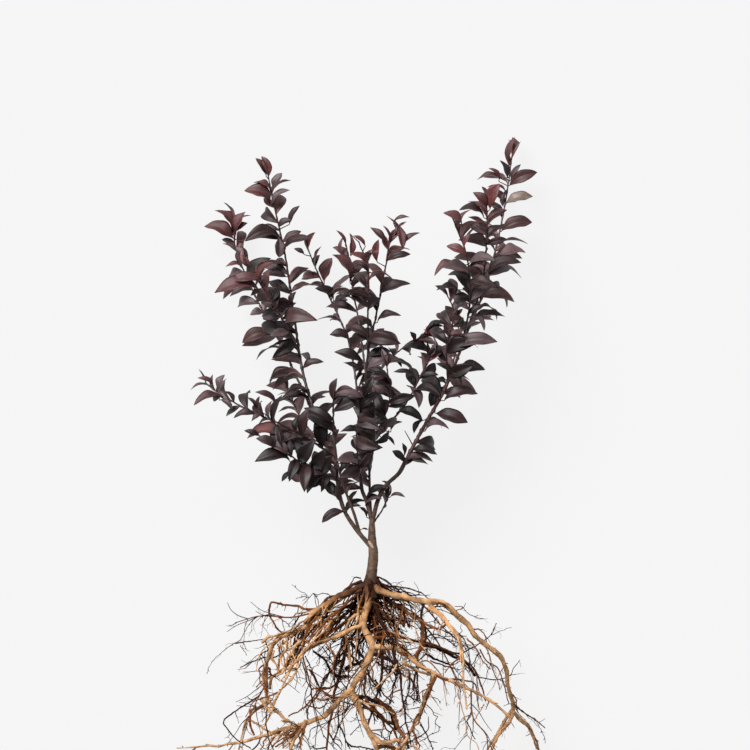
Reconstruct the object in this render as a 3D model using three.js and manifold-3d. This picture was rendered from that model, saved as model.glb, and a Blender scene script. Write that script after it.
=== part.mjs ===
// Bare-root crape myrtle with dark purple leaves, lying on its side.
// Millimetres. X runs across the plant, Y from the roots to the shoot tips, Z up from the floor.
// Every route is measured from the root collar, and its Z from the axis of the trunk.

import * as THREE from 'three';
import { mergeVertices } from 'three/addons/utils/BufferGeometryUtils.js';
import Module from 'manifold-3d';

const wasm = await Module();
wasm.setup();

// Driving dimensions
const JOINT_GAP = 0.3;            // clearance where one piece meets the next
const LIMB_STEP = 27;             // distance between the rings of a limb
const LIMB_SIDES = 6;
const TRUNK_SIDES = 12;
const TWIG_SIDES = 3;
const TWIG_STEP = 42;

const LEAF_LENGTH = 56;
const LEAF_WIDTH = 24;
const LEAF_KEEL = 1.5;            // thickness at the midrib
const LEAF_STEP = 16;             // distance along a shoot from one leaf to the next
const LEAF_ARCH = 0.85;           // how far the blade curls down, as a share of its length
const YOUNG_STRETCH = 85;         // length of the shoot's tip that carries young leaves
const YOUNG_SIZE = 0.68;          // size of the youngest leaf against a grown one
const OPEN_SPREAD = 62;           // degrees from the shoot to a grown leaf
const YOUNG_SPREAD = 28;          // degrees from the shoot to a young leaf
const LAST_SPREAD = 8;            // and to the one that ends the shoot
const LEAN_RANGE = 30;            // degrees over which that angle varies
const TURN_RANGE = 110;           // degrees over which a leaf turns round its shoot
const UNDERSIDE_SHARE = 0.25;     // leaves that show their underside
const LEAF_ROOM = 11;             // clear distance between the midribs of grown leaves
const LEAF_ATTEMPTS = 10;
const SPACE_MARGIN = 14;          // how far a leaf may pass the middle of two shoots
const SHOOT_TIP_RADIUS = 0.9;
const LEAF_STATIONS = [[0.32, 0.93], [0.66, 0.84]];   // places along a leaf, and its share of full width
const LEAF_SHORTEN = 0.12;        // what the arch takes off the leaf's reach
const LEAF_CREST = 0.7;           // where along the leaf the arch comes back to its axis
const ROLL_RANGE = [20, 62];      // degrees that a leaf is rolled to face the viewer
const SIZE_RANGE = [0.86, 1.22];
const CURL_RANGE = [0.5, 1.3];
const LAST_LEAF_AT = 0.995;
const TIP_CROWDING = 0.8;         // under 1, leaves stand closer towards the shoot's tip
const LEAF_ROOT = 1;              // how far a leaf starts behind the middle of its shoot
const LEAF_SEED_STEP = 101;
const ATTEMPT_SEED_STEP = 10007;
const VARIANT_SEED_STEP = 40503;
const ATTEMPTS_ON_ONE_SIDE = 5;
const OPENING_MARGIN = 5;         // clear distance from an opening to a midrib
const FLARE_FADE = 8;

const ROOTLET_STEP = 22;
const ROOTLET_LENGTH = 64;
const ROOTLET_RADIUS = 0.75;
const ROOTLET_PIECES = 3;
const ROOTLET_BEND = 0.55;        // how far a rootlet wanders from its course
const SPRAY_RADIUS = 1.5;
const SPRAY_TIP_RADIUS = 0.7;
const SPRAY_WANDER = 0.16;        // how far a spray's stem leaves its course, as a share of its length
const ROOTLET_TURN = 2.4;         // radians round the stem from one rootlet to the next
const ROOTLET_SPREAD = [0.9, 0.4];  // radians from the stem, at its foot and at its tip
const ROOTLET_RANGE = [0.7, 1.2];
const ROOTLET_ROOT = 0.5;
const ROOTLET_LAST_AT = 0.97;

const LEAST_OVERLAP = 1e-5;       // cubic millimetres that still count as clear
const TIDY_TOLERANCE = 0.02;

const COLOURS = {
  bark: 0x6a5644,
  root: 0xb48a5c,
  foliage: 0x3a2b33,
  fibre: 0x6b4426,
};

// Trunk, boughs and roots: each is one tapering limb along a smooth route.
// radius gives the thick and the thin end, flare what the thick end adds,
// and a taper above 1 keeps the limb thick for longer.
const LIMBS = [
  {
    name: 'trunk', slot: 'bark', sides: TRUNK_SIDES, radius: [8.8, 4.2], taper: 1.8, flare: 1.5,
    route: [[-2, -27, 0], [-2, -4, 0], [2, 36, 0], [0, 63, 0], [0, 90, 0]],
  },
  {
    name: 'bough_centre', slot: 'bark', radius: [3.2, 2.2],
    route: [[0, 88, 0], [-8, 117, 2], [-16, 141, 0], [-16, 186, -4], [-15, 225, -6]],
  },
  {
    name: 'bough_left', slot: 'bark', radius: [3.6, 2.4],
    route: [[1, 47, 0], [-28, 82, 4], [-46, 117, 4], [-58, 186, -8], [-75, 219, -14]],
  },
  {
    name: 'bough_right', slot: 'bark', radius: [3.3, 3.1],
    route: [[0, 86, 0], [9, 120, 8], [21, 142, 12], [40, 160, 10], [50, 178, 8]],
  },
  {
    name: 'bough_left_inner', slot: 'bark', radius: [2.4, 1.7],
    route: [[-18, 69, 2], [-27, 100, 18], [-39, 132, 26], [-52, 177, 30], [-57, 219, 34]],
  },
  {
    name: 'bough_centre_right', slot: 'bark', radius: [2.2, 1.7],
    route: [[-1, 88, -1], [-3, 123, -18], [-4, 165, -24], [-3, 201, -24]],
  },
  {
    name: 'tap_root', slot: 'root', radius: [5.6, 1.2], taper: 1.8,
    route: [
      [-2, -24, 0], [-13, -63, 16], [1, -102, 24], [-15, -138, 18],
      [-29, -164, 12], [-20, -194, 10], [10, -258, 4], [15, -312, -6], [4, -366, -24],
    ],
  },
  {
    name: 'right_root', slot: 'root', radius: [5.4, 4.1],
    route: [[0, -8, 0], [36, -24, 16], [82, -31, 24], [110, -36, 22], [130, -55, 14]],
  },
  {
    name: 'right_root_low', slot: 'root', radius: [4.1, 3],
    route: [[130, -55, 14], [162, -90, -4], [196, -120, -28], [207, -159, -56], [213, -200, -84]],
  },
  {
    name: 'right_root_outer', slot: 'root', radius: [2.8, 1],
    route: [[213, -200, -84], [238, -224, -104], [250, -252, -124], [262, -296, -147]],
  },
  {
    name: 'right_root_inner', slot: 'root', radius: [2.5, 0.9],
    route: [[212, -196, -82], [190, -232, -78], [177, -254, -66], [162, -300, -48], [144, -348, -40]],
  },
  {
    name: 'right_root_front', slot: 'root', radius: [3, 1.2],
    route: [[82, -31, 24], [108, -56, 44], [130, -88, 62], [136, -130, 82], [141, -190, 98]],
  },
  {
    name: 'low_right_root', slot: 'root', radius: [3.7, 1.8],
    route: [
      [0, -98, 24], [36, -102, 34], [78, -132, 46],
      [120, -151, 50], [172, -176, 44], [206, -204, 36],
    ],
  },
  {
    name: 'low_right_root_side', slot: 'root', radius: [2.5, 1],
    route: [[92, -140, 48], [78, -180, 32], [56, -230, 10], [40, -273, -8], [32, -325, -26]],
  },
  {
    name: 'dark_right_root', slot: 'root', radius: [3.4, 1.2],
    route: [[2, -16, -2], [36, -39, -24], [74, -63, -46], [82, -84, -58], [72, -112, -70], [62, -168, -92]],
  },
  {
    name: 'thin_right_root', slot: 'root', radius: [2.4, 1],
    route: [[-3, -86, 20], [45, -86, -14], [112, -106, -62], [154, -138, -98], [172, -186, -134]],
  },
  {
    name: 'left_root', slot: 'root', radius: [4.8, 3.7],
    route: [[-2, -4, 0], [-39, -20, 14], [-72, -36, 20], [-90, -50, 18], [-100, -70, 10]],
  },
  {
    name: 'left_root_low', slot: 'root', radius: [3.7, 2.6],
    route: [[-100, -70, 10], [-144, -92, -14], [-159, -134, -44], [-158, -188, -76]],
  },
  {
    name: 'left_root_outer', slot: 'root', radius: [2.2, 0.9],
    route: [[-158, -188, -76], [-182, -206, -98], [-198, -240, -120], [-206, -288, -146]],
  },
  {
    name: 'inner_left_root', slot: 'root', radius: [3.4, 1.2],
    route: [
      [-3, -20, -2], [-34, -58, -20], [-42, -112, -48],
      [-54, -165, -70], [-64, -225, -90], [-72, -290, -104],
    ],
  },
  {
    name: 'mid_left_root', slot: 'root', radius: [3.3, 1],
    route: [
      [-13, -68, 18], [-42, -79, 36], [-87, -96, 62],
      [-118, -125, 84], [-134, -160, 100], [-166, -228, 112],
    ],
  },
  {
    name: 'sweep_root', slot: 'root', radius: [4.7, 3],
    route: [[-29, -163, 12], [-50, -178, 6], [-59, -196, -8], [-94, -214, -34], [-152, -234, -72]],
  },
  {
    name: 'sweep_root_tip', slot: 'root', radius: [3, 1],
    route: [[-152, -234, -72], [-196, -246, -98], [-246, -254, -124], [-296, -258, -147]],
  },
  {
    name: 'low_centre_root', slot: 'root', radius: [2.3, 0.9],
    route: [[-22, -190, 10], [8, -200, -18], [32, -228, -48], [50, -272, -72], [58, -322, -86]],
  },
  {
    name: 'back_root', slot: 'root', radius: [3.6, 1.1],
    route: [[-2, -18, -2], [4, -56, -52], [16, -105, -88], [10, -165, -116], [-8, -230, -146]],
  },
  {
    name: 'front_root', slot: 'root', radius: [2.9, 1],
    route: [[-2, -22, 2], [18, -66, 56], [38, -120, 88], [46, -180, 106], [58, -244, 114]],
  },
];

// Leafy shoots. bare is the share of the shoot, from its foot, that carries no leaf,
// a dense shoot has its leaves closer together, and variant picks how its leaves turn.
const SHOOTS = [
  {
    name: 'shoot_left_tall', radius: 2.5, bare: 0.05, variant: 149,
    route: [
      [-75, 219, -14], [-102, 303, -30], [-116, 387, -38],
      [-129, 477, -34], [-146, 558, -26], [-157, 611, -20],
    ],
  },
  {
    name: 'shoot_left_inner', radius: 1.6, bare: 0.12, variant: 124,
    route: [[-108, 336, -33], [-130, 382, 0], [-153, 422, 18], [-184, 470, 28]],
  },
  {
    name: 'shoot_left_outer', radius: 2.1, bare: 0.12, variant: 200,
    route: [
      [-76, 222, -15], [-106, 288, -52], [-136, 351, -80],
      [-176, 426, -101], [-204, 492, -108], [-210, 536, -106],
    ],
  },
  {
    name: 'shoot_low_left', radius: 2, bare: 0.12, variant: 87,
    route: [
      [-58, 186, -8], [-92, 210, 30], [-129, 230, 48],
      [-184, 255, 54], [-226, 278, 48], [-250, 296, 40],
    ],
  },
  {
    name: 'shoot_low_cluster', radius: 1.7, bare: 0.04, variant: 143, dense: 1.4,
    route: [[-52, 150, 0], [-81, 166, 36], [-114, 182, 66], [-144, 202, 84], [-168, 217, 92]],
  },
  {
    name: 'shoot_left_foot', radius: 1.4, bare: 0.2, variant: 192,
    route: [[-44, 114, 4], [-62, 134, -24], [-86, 148, -44], [-104, 158, -56]],
  },
  {
    name: 'shoot_left_back', radius: 1.7, bare: 0.1, variant: 140,
    route: [[-62, 194, -10], [-88, 218, -58], [-112, 250, -96], [-128, 286, -116]],
  },
  {
    name: 'shoot_centre_small', radius: 1.7, bare: 0.05, variant: 158,
    route: [[-57, 219, 34], [-58, 255, 48], [-54, 296, 58]],
  },
  {
    name: 'shoot_centre_tall', radius: 2.3, bare: 0.04, variant: 105,
    route: [
      [-15, 225, -6], [-10, 278, 10], [-6, 339, 28], [6, 396, 38],
      [20, 468, 46], [26, 504, 50], [36, 526, 50],
    ],
  },
  {
    name: 'shoot_centre_mid', radius: 1.6, bare: 0.08, variant: 129,
    route: [[-9, 305, 18], [-18, 375, -10], [-30, 444, -24], [-38, 500, -26]],
  },
  {
    name: 'shoot_centre_high', radius: 1.6, bare: 0.1, variant: 155,
    route: [[-6, 345, 30], [-6, 410, 70], [-6, 467, 88], [-20, 506, 94]],
  },
  {
    name: 'shoot_centre_left', radius: 1.9, bare: 0.1, variant: 60,
    route: [
      [-16, 210, -5], [-24, 296, -52], [-36, 360, -76],
      [-58, 412, -88], [-82, 462, -92], [-98, 502, -88],
    ],
  },
  {
    name: 'shoot_bud_twig', radius: 1.6, bare: 0.2, variant: 62,
    route: [[-15, 222, -6], [2, 296, -62], [34, 338, -84], [66, 360, -90], [84, 374, -90]],
  },
  {
    name: 'shoot_right_low', radius: 1.8, bare: 0.05, variant: 84,
    route: [[-3, 201, -24], [18, 226, -6], [48, 261, 12], [68, 296, 22], [86, 336, 26]],
  },
  {
    name: 'shoot_right_tall', radius: 3, bare: 0, variant: 30,
    route: [
      [50, 178, 8], [81, 236, 2], [112, 292, -8], [142, 369, -28],
      [174, 450, -68], [198, 549, -106], [213, 645, -122],
    ],
  },
  {
    name: 'shoot_right_mid', radius: 1.8, bare: 0.06, variant: 229,
    route: [[144, 376, -29], [166, 450, -12], [172, 510, 8], [172, 566, 14]],
  },
  {
    name: 'shoot_right_left', radius: 1.8, bare: 0.08, variant: 69,
    route: [[134, 348, -21], [146, 414, 38], [142, 482, 62], [120, 542, 74]],
  },
  {
    name: 'shoot_right_inner', radius: 1.6, bare: 0.08, variant: 92,
    route: [[114, 297, -9], [112, 346, 30], [122, 400, 48], [106, 440, 52]],
  },
  {
    name: 'shoot_right_back', radius: 1.6, bare: 0.1, variant: 32,
    route: [[100, 270, -5], [118, 312, -60], [130, 362, -100], [128, 408, -116]],
  },
  {
    name: 'shoot_right_small', radius: 1.4, bare: 0.3, variant: 38,
    route: [[0, 82, 0], [17, 108, -10], [28, 134, -14]],
  },
  {
    name: 'shoot_front_low', radius: 1.6, bare: 0.15, variant: 232,
    route: [[-16, 153, -1], [-22, 190, 44], [-22, 232, 84], [-12, 276, 110]],
  },
  {
    name: 'shoot_front_right', radius: 1.5, bare: 0.15, variant: 238,
    route: [[-4, 168, -24], [2, 196, 20], [4, 232, 54], [2, 270, 80]],
  },
  {
    name: 'shoot_back_low', radius: 1.6, bare: 0.2, variant: 210,
    route: [[-4, 157, -23], [2, 198, -66], [4, 243, -98], [6, 292, -116]],
  },
  {
    name: 'shoot_mid_right', radius: 1.6, bare: 0.12, variant: 96,
    route: [[-4, 185, -24], [10, 226, 26], [26, 270, 62], [22, 322, 84]],
  },
];

// Openings right through the crown, seen from above: the X and Y of each one's middle, and its radius.
const OPENINGS = [
  [-165, 498, 14], [-116, 489, 14], [-92, 417, 17], [-99, 375, 13], [-81, 354, 21], [-60, 321, 15],
  [-81, 303, 17], [-39, 306, 12], [-54, 462, 10], [-39, 243, 12], [-42, 201, 11], [3, 444, 9],
  [36, 468, 13], [33, 423, 15], [69, 414, 30], [42, 381, 15], [39, 297, 10], [54, 240, 9],
  [39, 216, 11], [18, 174, 19], [105, 525, 19], [159, 495, 9],
];

// Sprays of fine rootlets: where each leaves its root, which way it runs and how far.
const SPRAYS = [
  { name: 'rootlets_left_top', on: 'left_root', at: 0.8, toward: [-1, -0.08, 0.35], length: 130 },
  { name: 'rootlets_left_low', on: 'left_root_low', at: 0.55, toward: [-0.25, -1, 0.5], length: 115 },
  { name: 'rootlets_mid_left', on: 'mid_left_root', at: 0.45, toward: [0.25, -1, -0.1], length: 120 },
  { name: 'rootlets_centre_left', on: 'tap_root', at: 0.22, toward: [-0.5, -1, -0.3], length: 120 },
  { name: 'rootlets_centre_front', on: 'front_root', at: 0.3, toward: [-0.35, -1, 0.25], length: 140 },
  { name: 'rootlets_centre_back', on: 'back_root', at: 0.35, toward: [-0.45, -1, -0.2], length: 130 },
  { name: 'rootlets_dark_right', on: 'dark_right_root', at: 0.5, toward: [0.6, -1, -0.3], length: 120 },
  { name: 'rootlets_right_top', on: 'right_root', at: 0.5, toward: [0.9, -0.9, -0.65], length: 110 },
  { name: 'rootlets_right_low', on: 'low_right_root', at: 0.7, toward: [0.25, -1, 0.15], length: 115 },
  { name: 'rootlets_sweep', on: 'sweep_root', at: 0.6, toward: [-0.1, -1, 0.55], length: 100 },
];

const CAMERA_SIDE = new THREE.Vector3(0, 0, 1);

// The same random numbers on every run
function seededRandom(seed) {
  let state = seed >>> 0;
  return () => {
    state = (Math.imul(state, 1664525) + 1013904223) >>> 0;
    return state / 4294967296;
  };
}

function seedOf(name) {
  let seed = 7;
  for (const letter of name) {
    seed = (Math.imul(seed, 31) + letter.charCodeAt(0)) >>> 0;
  }
  return seed;
}

function lerp(from, to, share) {
  return from + (to - from) * share;
}

function curveThrough(route) {
  const points = route.map(([x, y, z]) => new THREE.Vector3(x, y, z));
  return new THREE.CatmullRomCurve3(points, false, 'catmullrom', 0.5);
}

// Directions on a limb: along it, to its right and to its front
function frameAt(curve, share) {
  const point = curve.getPointAt(share);
  const ahead = curve.getTangentAt(share);
  const side = new THREE.Vector3().crossVectors(ahead, CAMERA_SIDE).normalize();
  const front = new THREE.Vector3().crossVectors(side, ahead);
  return { point, ahead, side, front };
}

function solidFrom(points, faces) {
  const vertProperties = new Float32Array(points.flatMap((point) => [point.x, point.y, point.z]));
  const triVerts = new Uint32Array(faces.flat());
  return new wasm.Manifold(new wasm.Mesh({ numProp: 3, vertProperties, triVerts }));
}

// A closed tube through rings of points, with a flat cap at both ends
function loft(rings) {
  const sides = rings[0].length;
  const faces = [];
  for (let ring = 0; ring + 1 < rings.length; ring += 1) {
    for (let k = 0; k < sides; k += 1) {
      const a = ring * sides + k;
      const b = ring * sides + ((k + 1) % sides);
      faces.push([a, b, b + sides], [a, b + sides, a + sides]);
    }
  }
  const last = (rings.length - 1) * sides;
  for (let k = 1; k + 1 < sides; k += 1) {
    faces.push([0, k + 1, k], [last, last + k, last + k + 1]);
  }
  return solidFrom(rings.flat(), faces);
}

function ringAt({ point, side, front }, radius, sides) {
  return Array.from({ length: sides }, (_, k) => {
    const angle = (k / sides) * 2 * Math.PI;
    return point.clone()
      .addScaledVector(front, radius * Math.cos(angle))
      .addScaledVector(side, radius * Math.sin(angle));
  });
}

// One tapering limb; grow makes the same limb fatter and longer by that much
function limbSolid(limb, grow = 0) {
  const { route, radius, flare = 0, taper = 1, sides = LIMB_SIDES, step = LIMB_STEP } = limb;
  const curve = curveThrough(route);
  const count = Math.max(2, Math.round(curve.getLength() / step));
  const fatter = grow / Math.cos(Math.PI / sides);
  const rings = [];
  for (let k = 0; k <= count; k += 1) {
    const share = k / count;
    const frame = frameAt(curve, share);
    if (k === 0) {
      frame.point.addScaledVector(frame.ahead, -grow);
    }
    if (k === count) {
      frame.point.addScaledVector(frame.ahead, grow);
    }
    const flared = flare * Math.exp(-FLARE_FADE * share);
    rings.push(ringAt(frame, lerp(...radius, share ** taper) + flared + fatter, sides));
  }
  return loft(rings);
}

// The largest part alone: loose scraps and sealed hollows go
function mainBody(solid) {
  const bodies = solid.decompose();
  return bodies.reduce((best, body) => (body.volume() > best.volume() ? body : best));
}

function boxesMeet(a, b) {
  const first = a.boundingBox();
  const second = b.boundingBox();
  return [0, 1, 2].every((axis) => (
    first.min[axis] <= second.max[axis] && second.min[axis] <= first.max[axis]
  ));
}

function touches(a, b) {
  return boxesMeet(a, b) && a.intersect(b).volume() > LEAST_OVERLAP;
}

// Every piece that has been made so far, with a fatter copy that keeps the others clear
const pieces = [];

function addPiece(spec) {
  let body = limbSolid(spec);
  for (const other of pieces) {
    if (touches(body, other.guard)) {
      body = body.subtract(other.guard);
    }
  }
  const piece = {
    name: spec.name,
    slot: spec.slot,
    curve: curveThrough(spec.route),
    body: mainBody(body),
    guard: limbSolid(spec, JOINT_GAP),
    growth: [],
  };
  pieces.push(piece);
  return piece;
}

function hitsOther(candidate, own) {
  return pieces.some((piece) => piece !== own
    && (touches(candidate, piece.guard) || piece.growth.some((grown) => touches(candidate, grown))));
}

// A leaf blade: keeled below, flat above, curling down to its tip
function leafSolid(leaf, grow = 0) {
  const longer = { ...leaf, length: leaf.length + grow };
  const at = (share, right, up) => leafPoint(longer, share)
    .addScaledVector(leaf.normal, up)
    .addScaledVector(leaf.across, right);
  const half = (LEAF_WIDTH * leaf.length) / LEAF_LENGTH / 2 + grow;
  const points = [at(0, 0, 0)];
  for (const [share, wide] of LEAF_STATIONS) {
    points.push(at(share, -half * wide, LEAF_KEEL / 2 + grow / 2));
    points.push(at(share, half * wide, LEAF_KEEL / 2 + grow / 2));
    points.push(at(share, 0, -LEAF_KEEL / 2 - grow));
  }
  points.push(at(1, 0, 0));
  return solidFrom(points, [
    [0, 2, 1], [0, 3, 2], [0, 1, 3],
    [1, 5, 4], [1, 2, 5], [2, 6, 5], [2, 3, 6], [3, 4, 6], [3, 1, 4],
    [7, 4, 5], [7, 5, 6], [7, 6, 4],
  ]);
}

// One leaf of a shoot, at a share of its length; the shoot's leaves stand right and left by turns
function drawLeaf(curve, share, rank, isLast, random) {
  const [turn, lean, size, roll, flip, curl] = Array.from({ length: 6 }, () => random());
  const age = Math.min(1, ((1 - share) * curve.getLength()) / YOUNG_STRETCH);
  const { point, ahead, side, front } = frameAt(curve, share);
  const around = THREE.MathUtils.degToRad((rank % 2) * 180 + (turn - 0.5) * TURN_RANGE);
  const opening = isLast ? LAST_SPREAD : lerp(YOUNG_SPREAD, OPEN_SPREAD, age) + (lean - 0.5) * LEAN_RANGE;
  const spread = THREE.MathUtils.degToRad(opening);
  const out = side.clone().multiplyScalar(Math.cos(around)).addScaledVector(front, Math.sin(around));
  const axis = ahead.clone().multiplyScalar(Math.cos(spread)).addScaledVector(out, Math.sin(spread));
  const upper = ahead.clone().multiplyScalar(Math.sin(spread)).addScaledVector(out, -Math.cos(spread));
  const edge = new THREE.Vector3().crossVectors(axis, upper);
  const facing = (edge.z < 0 ? -1 : 1) * (flip < UNDERSIDE_SHARE ? -1 : 1);
  const tilt = THREE.MathUtils.degToRad(lerp(...ROLL_RANGE, roll));
  const normal = upper.multiplyScalar(Math.cos(tilt)).addScaledVector(edge, facing * Math.sin(tilt));
  return {
    base: point.clone().addScaledVector(axis, -LEAF_ROOT),
    axis,
    normal,
    across: new THREE.Vector3().crossVectors(axis, normal),
    length: LEAF_LENGTH * lerp(YOUNG_SIZE, 1, age) * lerp(...SIZE_RANGE, size),
    arch: LEAF_ARCH * lerp(...CURL_RANGE, curl),
  };
}

function leafPoint({ base, axis, normal, length, arch }, share) {
  return base.clone()
    .addScaledVector(axis, length * share * (1 - LEAF_SHORTEN * share))
    .addScaledVector(normal, length * arch * share * (LEAF_CREST - share));
}

function nearest(marks, point) {
  return marks.reduce((least, mark) => Math.min(least, mark.distanceTo(point)), Infinity);
}

// A leaf keeps to its shoot's own space: its tip lies nearer to that shoot than to any other
function keepsToOwnSpace(leaf, own, shoots) {
  const tip = leafPoint(leaf, 1);
  const reach = nearest(own.samples, tip) - SPACE_MARGIN;
  return shoots.every((other) => other === own || nearest(other.samples, tip) > reach);
}

function closesOpening(spots) {
  return OPENINGS.some(([x, y, radius]) => (
    spots.some((spot) => Math.hypot(spot.x - x, spot.y - y) < radius + OPENING_MARGIN)
  ));
}

// Leaves grow along a shoot; one that would crowd another or close an opening turns elsewhere,
// or is skipped
function growLeaves(piece, shoot, shoots, marks) {
  const seed = seedOf(shoot.name) + shoot.variant * VARIANT_SEED_STEP;
  const stretch = piece.curve.getLength() * (1 - shoot.bare);
  const count = Math.round((stretch / LEAF_STEP) * (shoot.dense ?? 1)) + 2;
  for (let k = 0; k < count; k += 1) {
    const share = lerp(shoot.bare, LAST_LEAF_AT, (k / (count - 1)) ** TIP_CROWDING);
    for (let attempt = 0; attempt < LEAF_ATTEMPTS; attempt += 1) {
      const random = seededRandom(seed + k * LEAF_SEED_STEP + attempt * ATTEMPT_SEED_STEP);
      const rank = attempt < ATTEMPTS_ON_ONE_SIDE ? k : k + 1;
      const leaf = drawLeaf(piece.curve, share, rank, k === count - 1, random);
      const spots = [0.4, 0.7, 1].map((along) => leafPoint(leaf, along));
      const roomy = spots.every((spot) => nearest(marks, spot) > LEAF_ROOM * (leaf.length / LEAF_LENGTH));
      if (roomy && !closesOpening(spots) && keepsToOwnSpace(leaf, piece, shoots)) {
        marks.push(...spots);
        if (!hitsOther(leafSolid(leaf, JOINT_GAP), piece)) {
          piece.growth.push(leafSolid(leaf));
        }
        break;
      }
    }
  }
}

// A wandering rootlet that starts inside its carrier
function rootletSolid(start, heading, length, radius, random, grow = 0) {
  const course = heading.clone().normalize();
  const point = start.clone().addScaledVector(course, -ROOTLET_ROOT);
  const rings = [];
  for (let k = 0; k <= ROOTLET_PIECES; k += 1) {
    const side = new THREE.Vector3().crossVectors(course, CAMERA_SIDE).normalize();
    const front = new THREE.Vector3().crossVectors(side, course);
    const thickness = lerp(radius, radius * 0.5, k / ROOTLET_PIECES) + grow;
    rings.push(ringAt({ point, side, front }, thickness, TWIG_SIDES));
    point.addScaledVector(course, length / ROOTLET_PIECES);
    const bend = new THREE.Vector3(random() - 0.5, random() - 0.5, random() - 0.5);
    course.addScaledVector(bend, ROOTLET_BEND);
    course.normalize();
  }
  return loft(rings);
}

function growRootlets(piece) {
  const random = seededRandom(seedOf(piece.name));
  const count = Math.round(piece.curve.getLength() / ROOTLET_STEP);
  for (let k = 1; k <= count; k += 1) {
    const { point, ahead, side, front } = frameAt(piece.curve, (k / count) * ROOTLET_LAST_AT);
    const around = k * ROOTLET_TURN + random();
    const spread = lerp(...ROOTLET_SPREAD, k / count);
    const heading = ahead.clone().multiplyScalar(Math.cos(spread))
      .addScaledVector(side, Math.sin(spread) * Math.cos(around))
      .addScaledVector(front, Math.sin(spread) * Math.sin(around));
    const length = ROOTLET_LENGTH * lerp(...ROOTLET_RANGE, random());
    const seed = seedOf(piece.name) + k;
    const rootlet = (grow) => (
      rootletSolid(point, heading, length, ROOTLET_RADIUS, seededRandom(seed), grow)
    );
    if (!hitsOther(rootlet(JOINT_GAP), piece)) {
      piece.growth.push(rootlet(0));
    }
  }
}

// The stem of a spray of rootlets leaves its root and wanders on its course
function sprayRoute(spray) {
  const random = seededRandom(seedOf(spray.name));
  const carrier = pieces.find((piece) => piece.name === spray.on);
  const start = carrier.curve.getPointAt(spray.at);
  const course = new THREE.Vector3(...spray.toward).normalize();
  const wander = () => (random() - 0.5) * SPRAY_WANDER * spray.length;
  return [0, 0.33, 0.66, 1].map((share) => {
    const point = start.clone().addScaledVector(course, spray.length * share);
    return share === 0 ? point.toArray() : [point.x + wander(), point.y + wander(), point.z + wander()];
  });
}

function meshOf(piece) {
  const { vertProperties, triVerts } = piece.solid.getMesh();
  let geometry = new THREE.BufferGeometry();
  geometry.setAttribute('position', new THREE.BufferAttribute(new Float32Array(vertProperties), 3));
  geometry.setIndex(new THREE.BufferAttribute(new Uint32Array(triVerts), 1));
  geometry = mergeVertices(geometry, 1e-4);
  geometry.computeVertexNormals();
  const material = new THREE.MeshStandardMaterial({
    color: COLOURS[piece.slot],
    roughness: 0.7,
    metalness: 0,
    flatShading: true,
  });
  const mesh = new THREE.Mesh(geometry, material);
  mesh.name = piece.name;
  return mesh;
}

// Trunk, boughs and roots first, then every stem, and last the leaves and rootlets between them
LIMBS.forEach((limb) => addPiece(limb));

const shootPieces = SHOOTS.map((shoot) => addPiece({
  ...shoot,
  slot: 'foliage',
  radius: [shoot.radius, SHOOT_TIP_RADIUS],
  sides: TWIG_SIDES,
  step: TWIG_STEP,
}));
shootPieces.forEach((piece) => {
  piece.samples = piece.curve.getSpacedPoints(24);
});

const sprayPieces = SPRAYS.map((spray) => addPiece({
  name: spray.name,
  slot: 'fibre',
  route: sprayRoute(spray),
  radius: [SPRAY_RADIUS, SPRAY_TIP_RADIUS],
  sides: TWIG_SIDES,
  step: TWIG_STEP,
}));

const leafMarks = [];
shootPieces.forEach((piece, index) => growLeaves(piece, SHOOTS[index], shootPieces, leafMarks));
sprayPieces.forEach((piece) => growRootlets(piece));

const plant = new THREE.Group();
plant.name = 'crape_myrtle';
for (const piece of pieces) {
  const joined = piece.growth.length
    ? mainBody(wasm.Manifold.union([piece.body, ...piece.growth]))
    : piece.body;
  piece.solid = joined.simplify(TIDY_TOLERANCE);
  plant.add(meshOf(piece));
}

// The plant's box stands on the floor, centred on the origin
const box = new THREE.Box3().setFromObject(plant);
const centre = box.getCenter(new THREE.Vector3());
plant.children.forEach((mesh) => {
  mesh.position.set(-centre.x, -centre.y, -box.min.z);
});

export default plant;
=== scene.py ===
"""Bare-root crape myrtle with dark purple leaves, lying on a pale floor and seen from above.

Routes are in millimetres from the root collar, X across the plant, Y from the roots to the
shoot tips, Z up, with Z zero at the trunk's axis. The meshes are in metres, in the frame's box.
"""
import math

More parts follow.
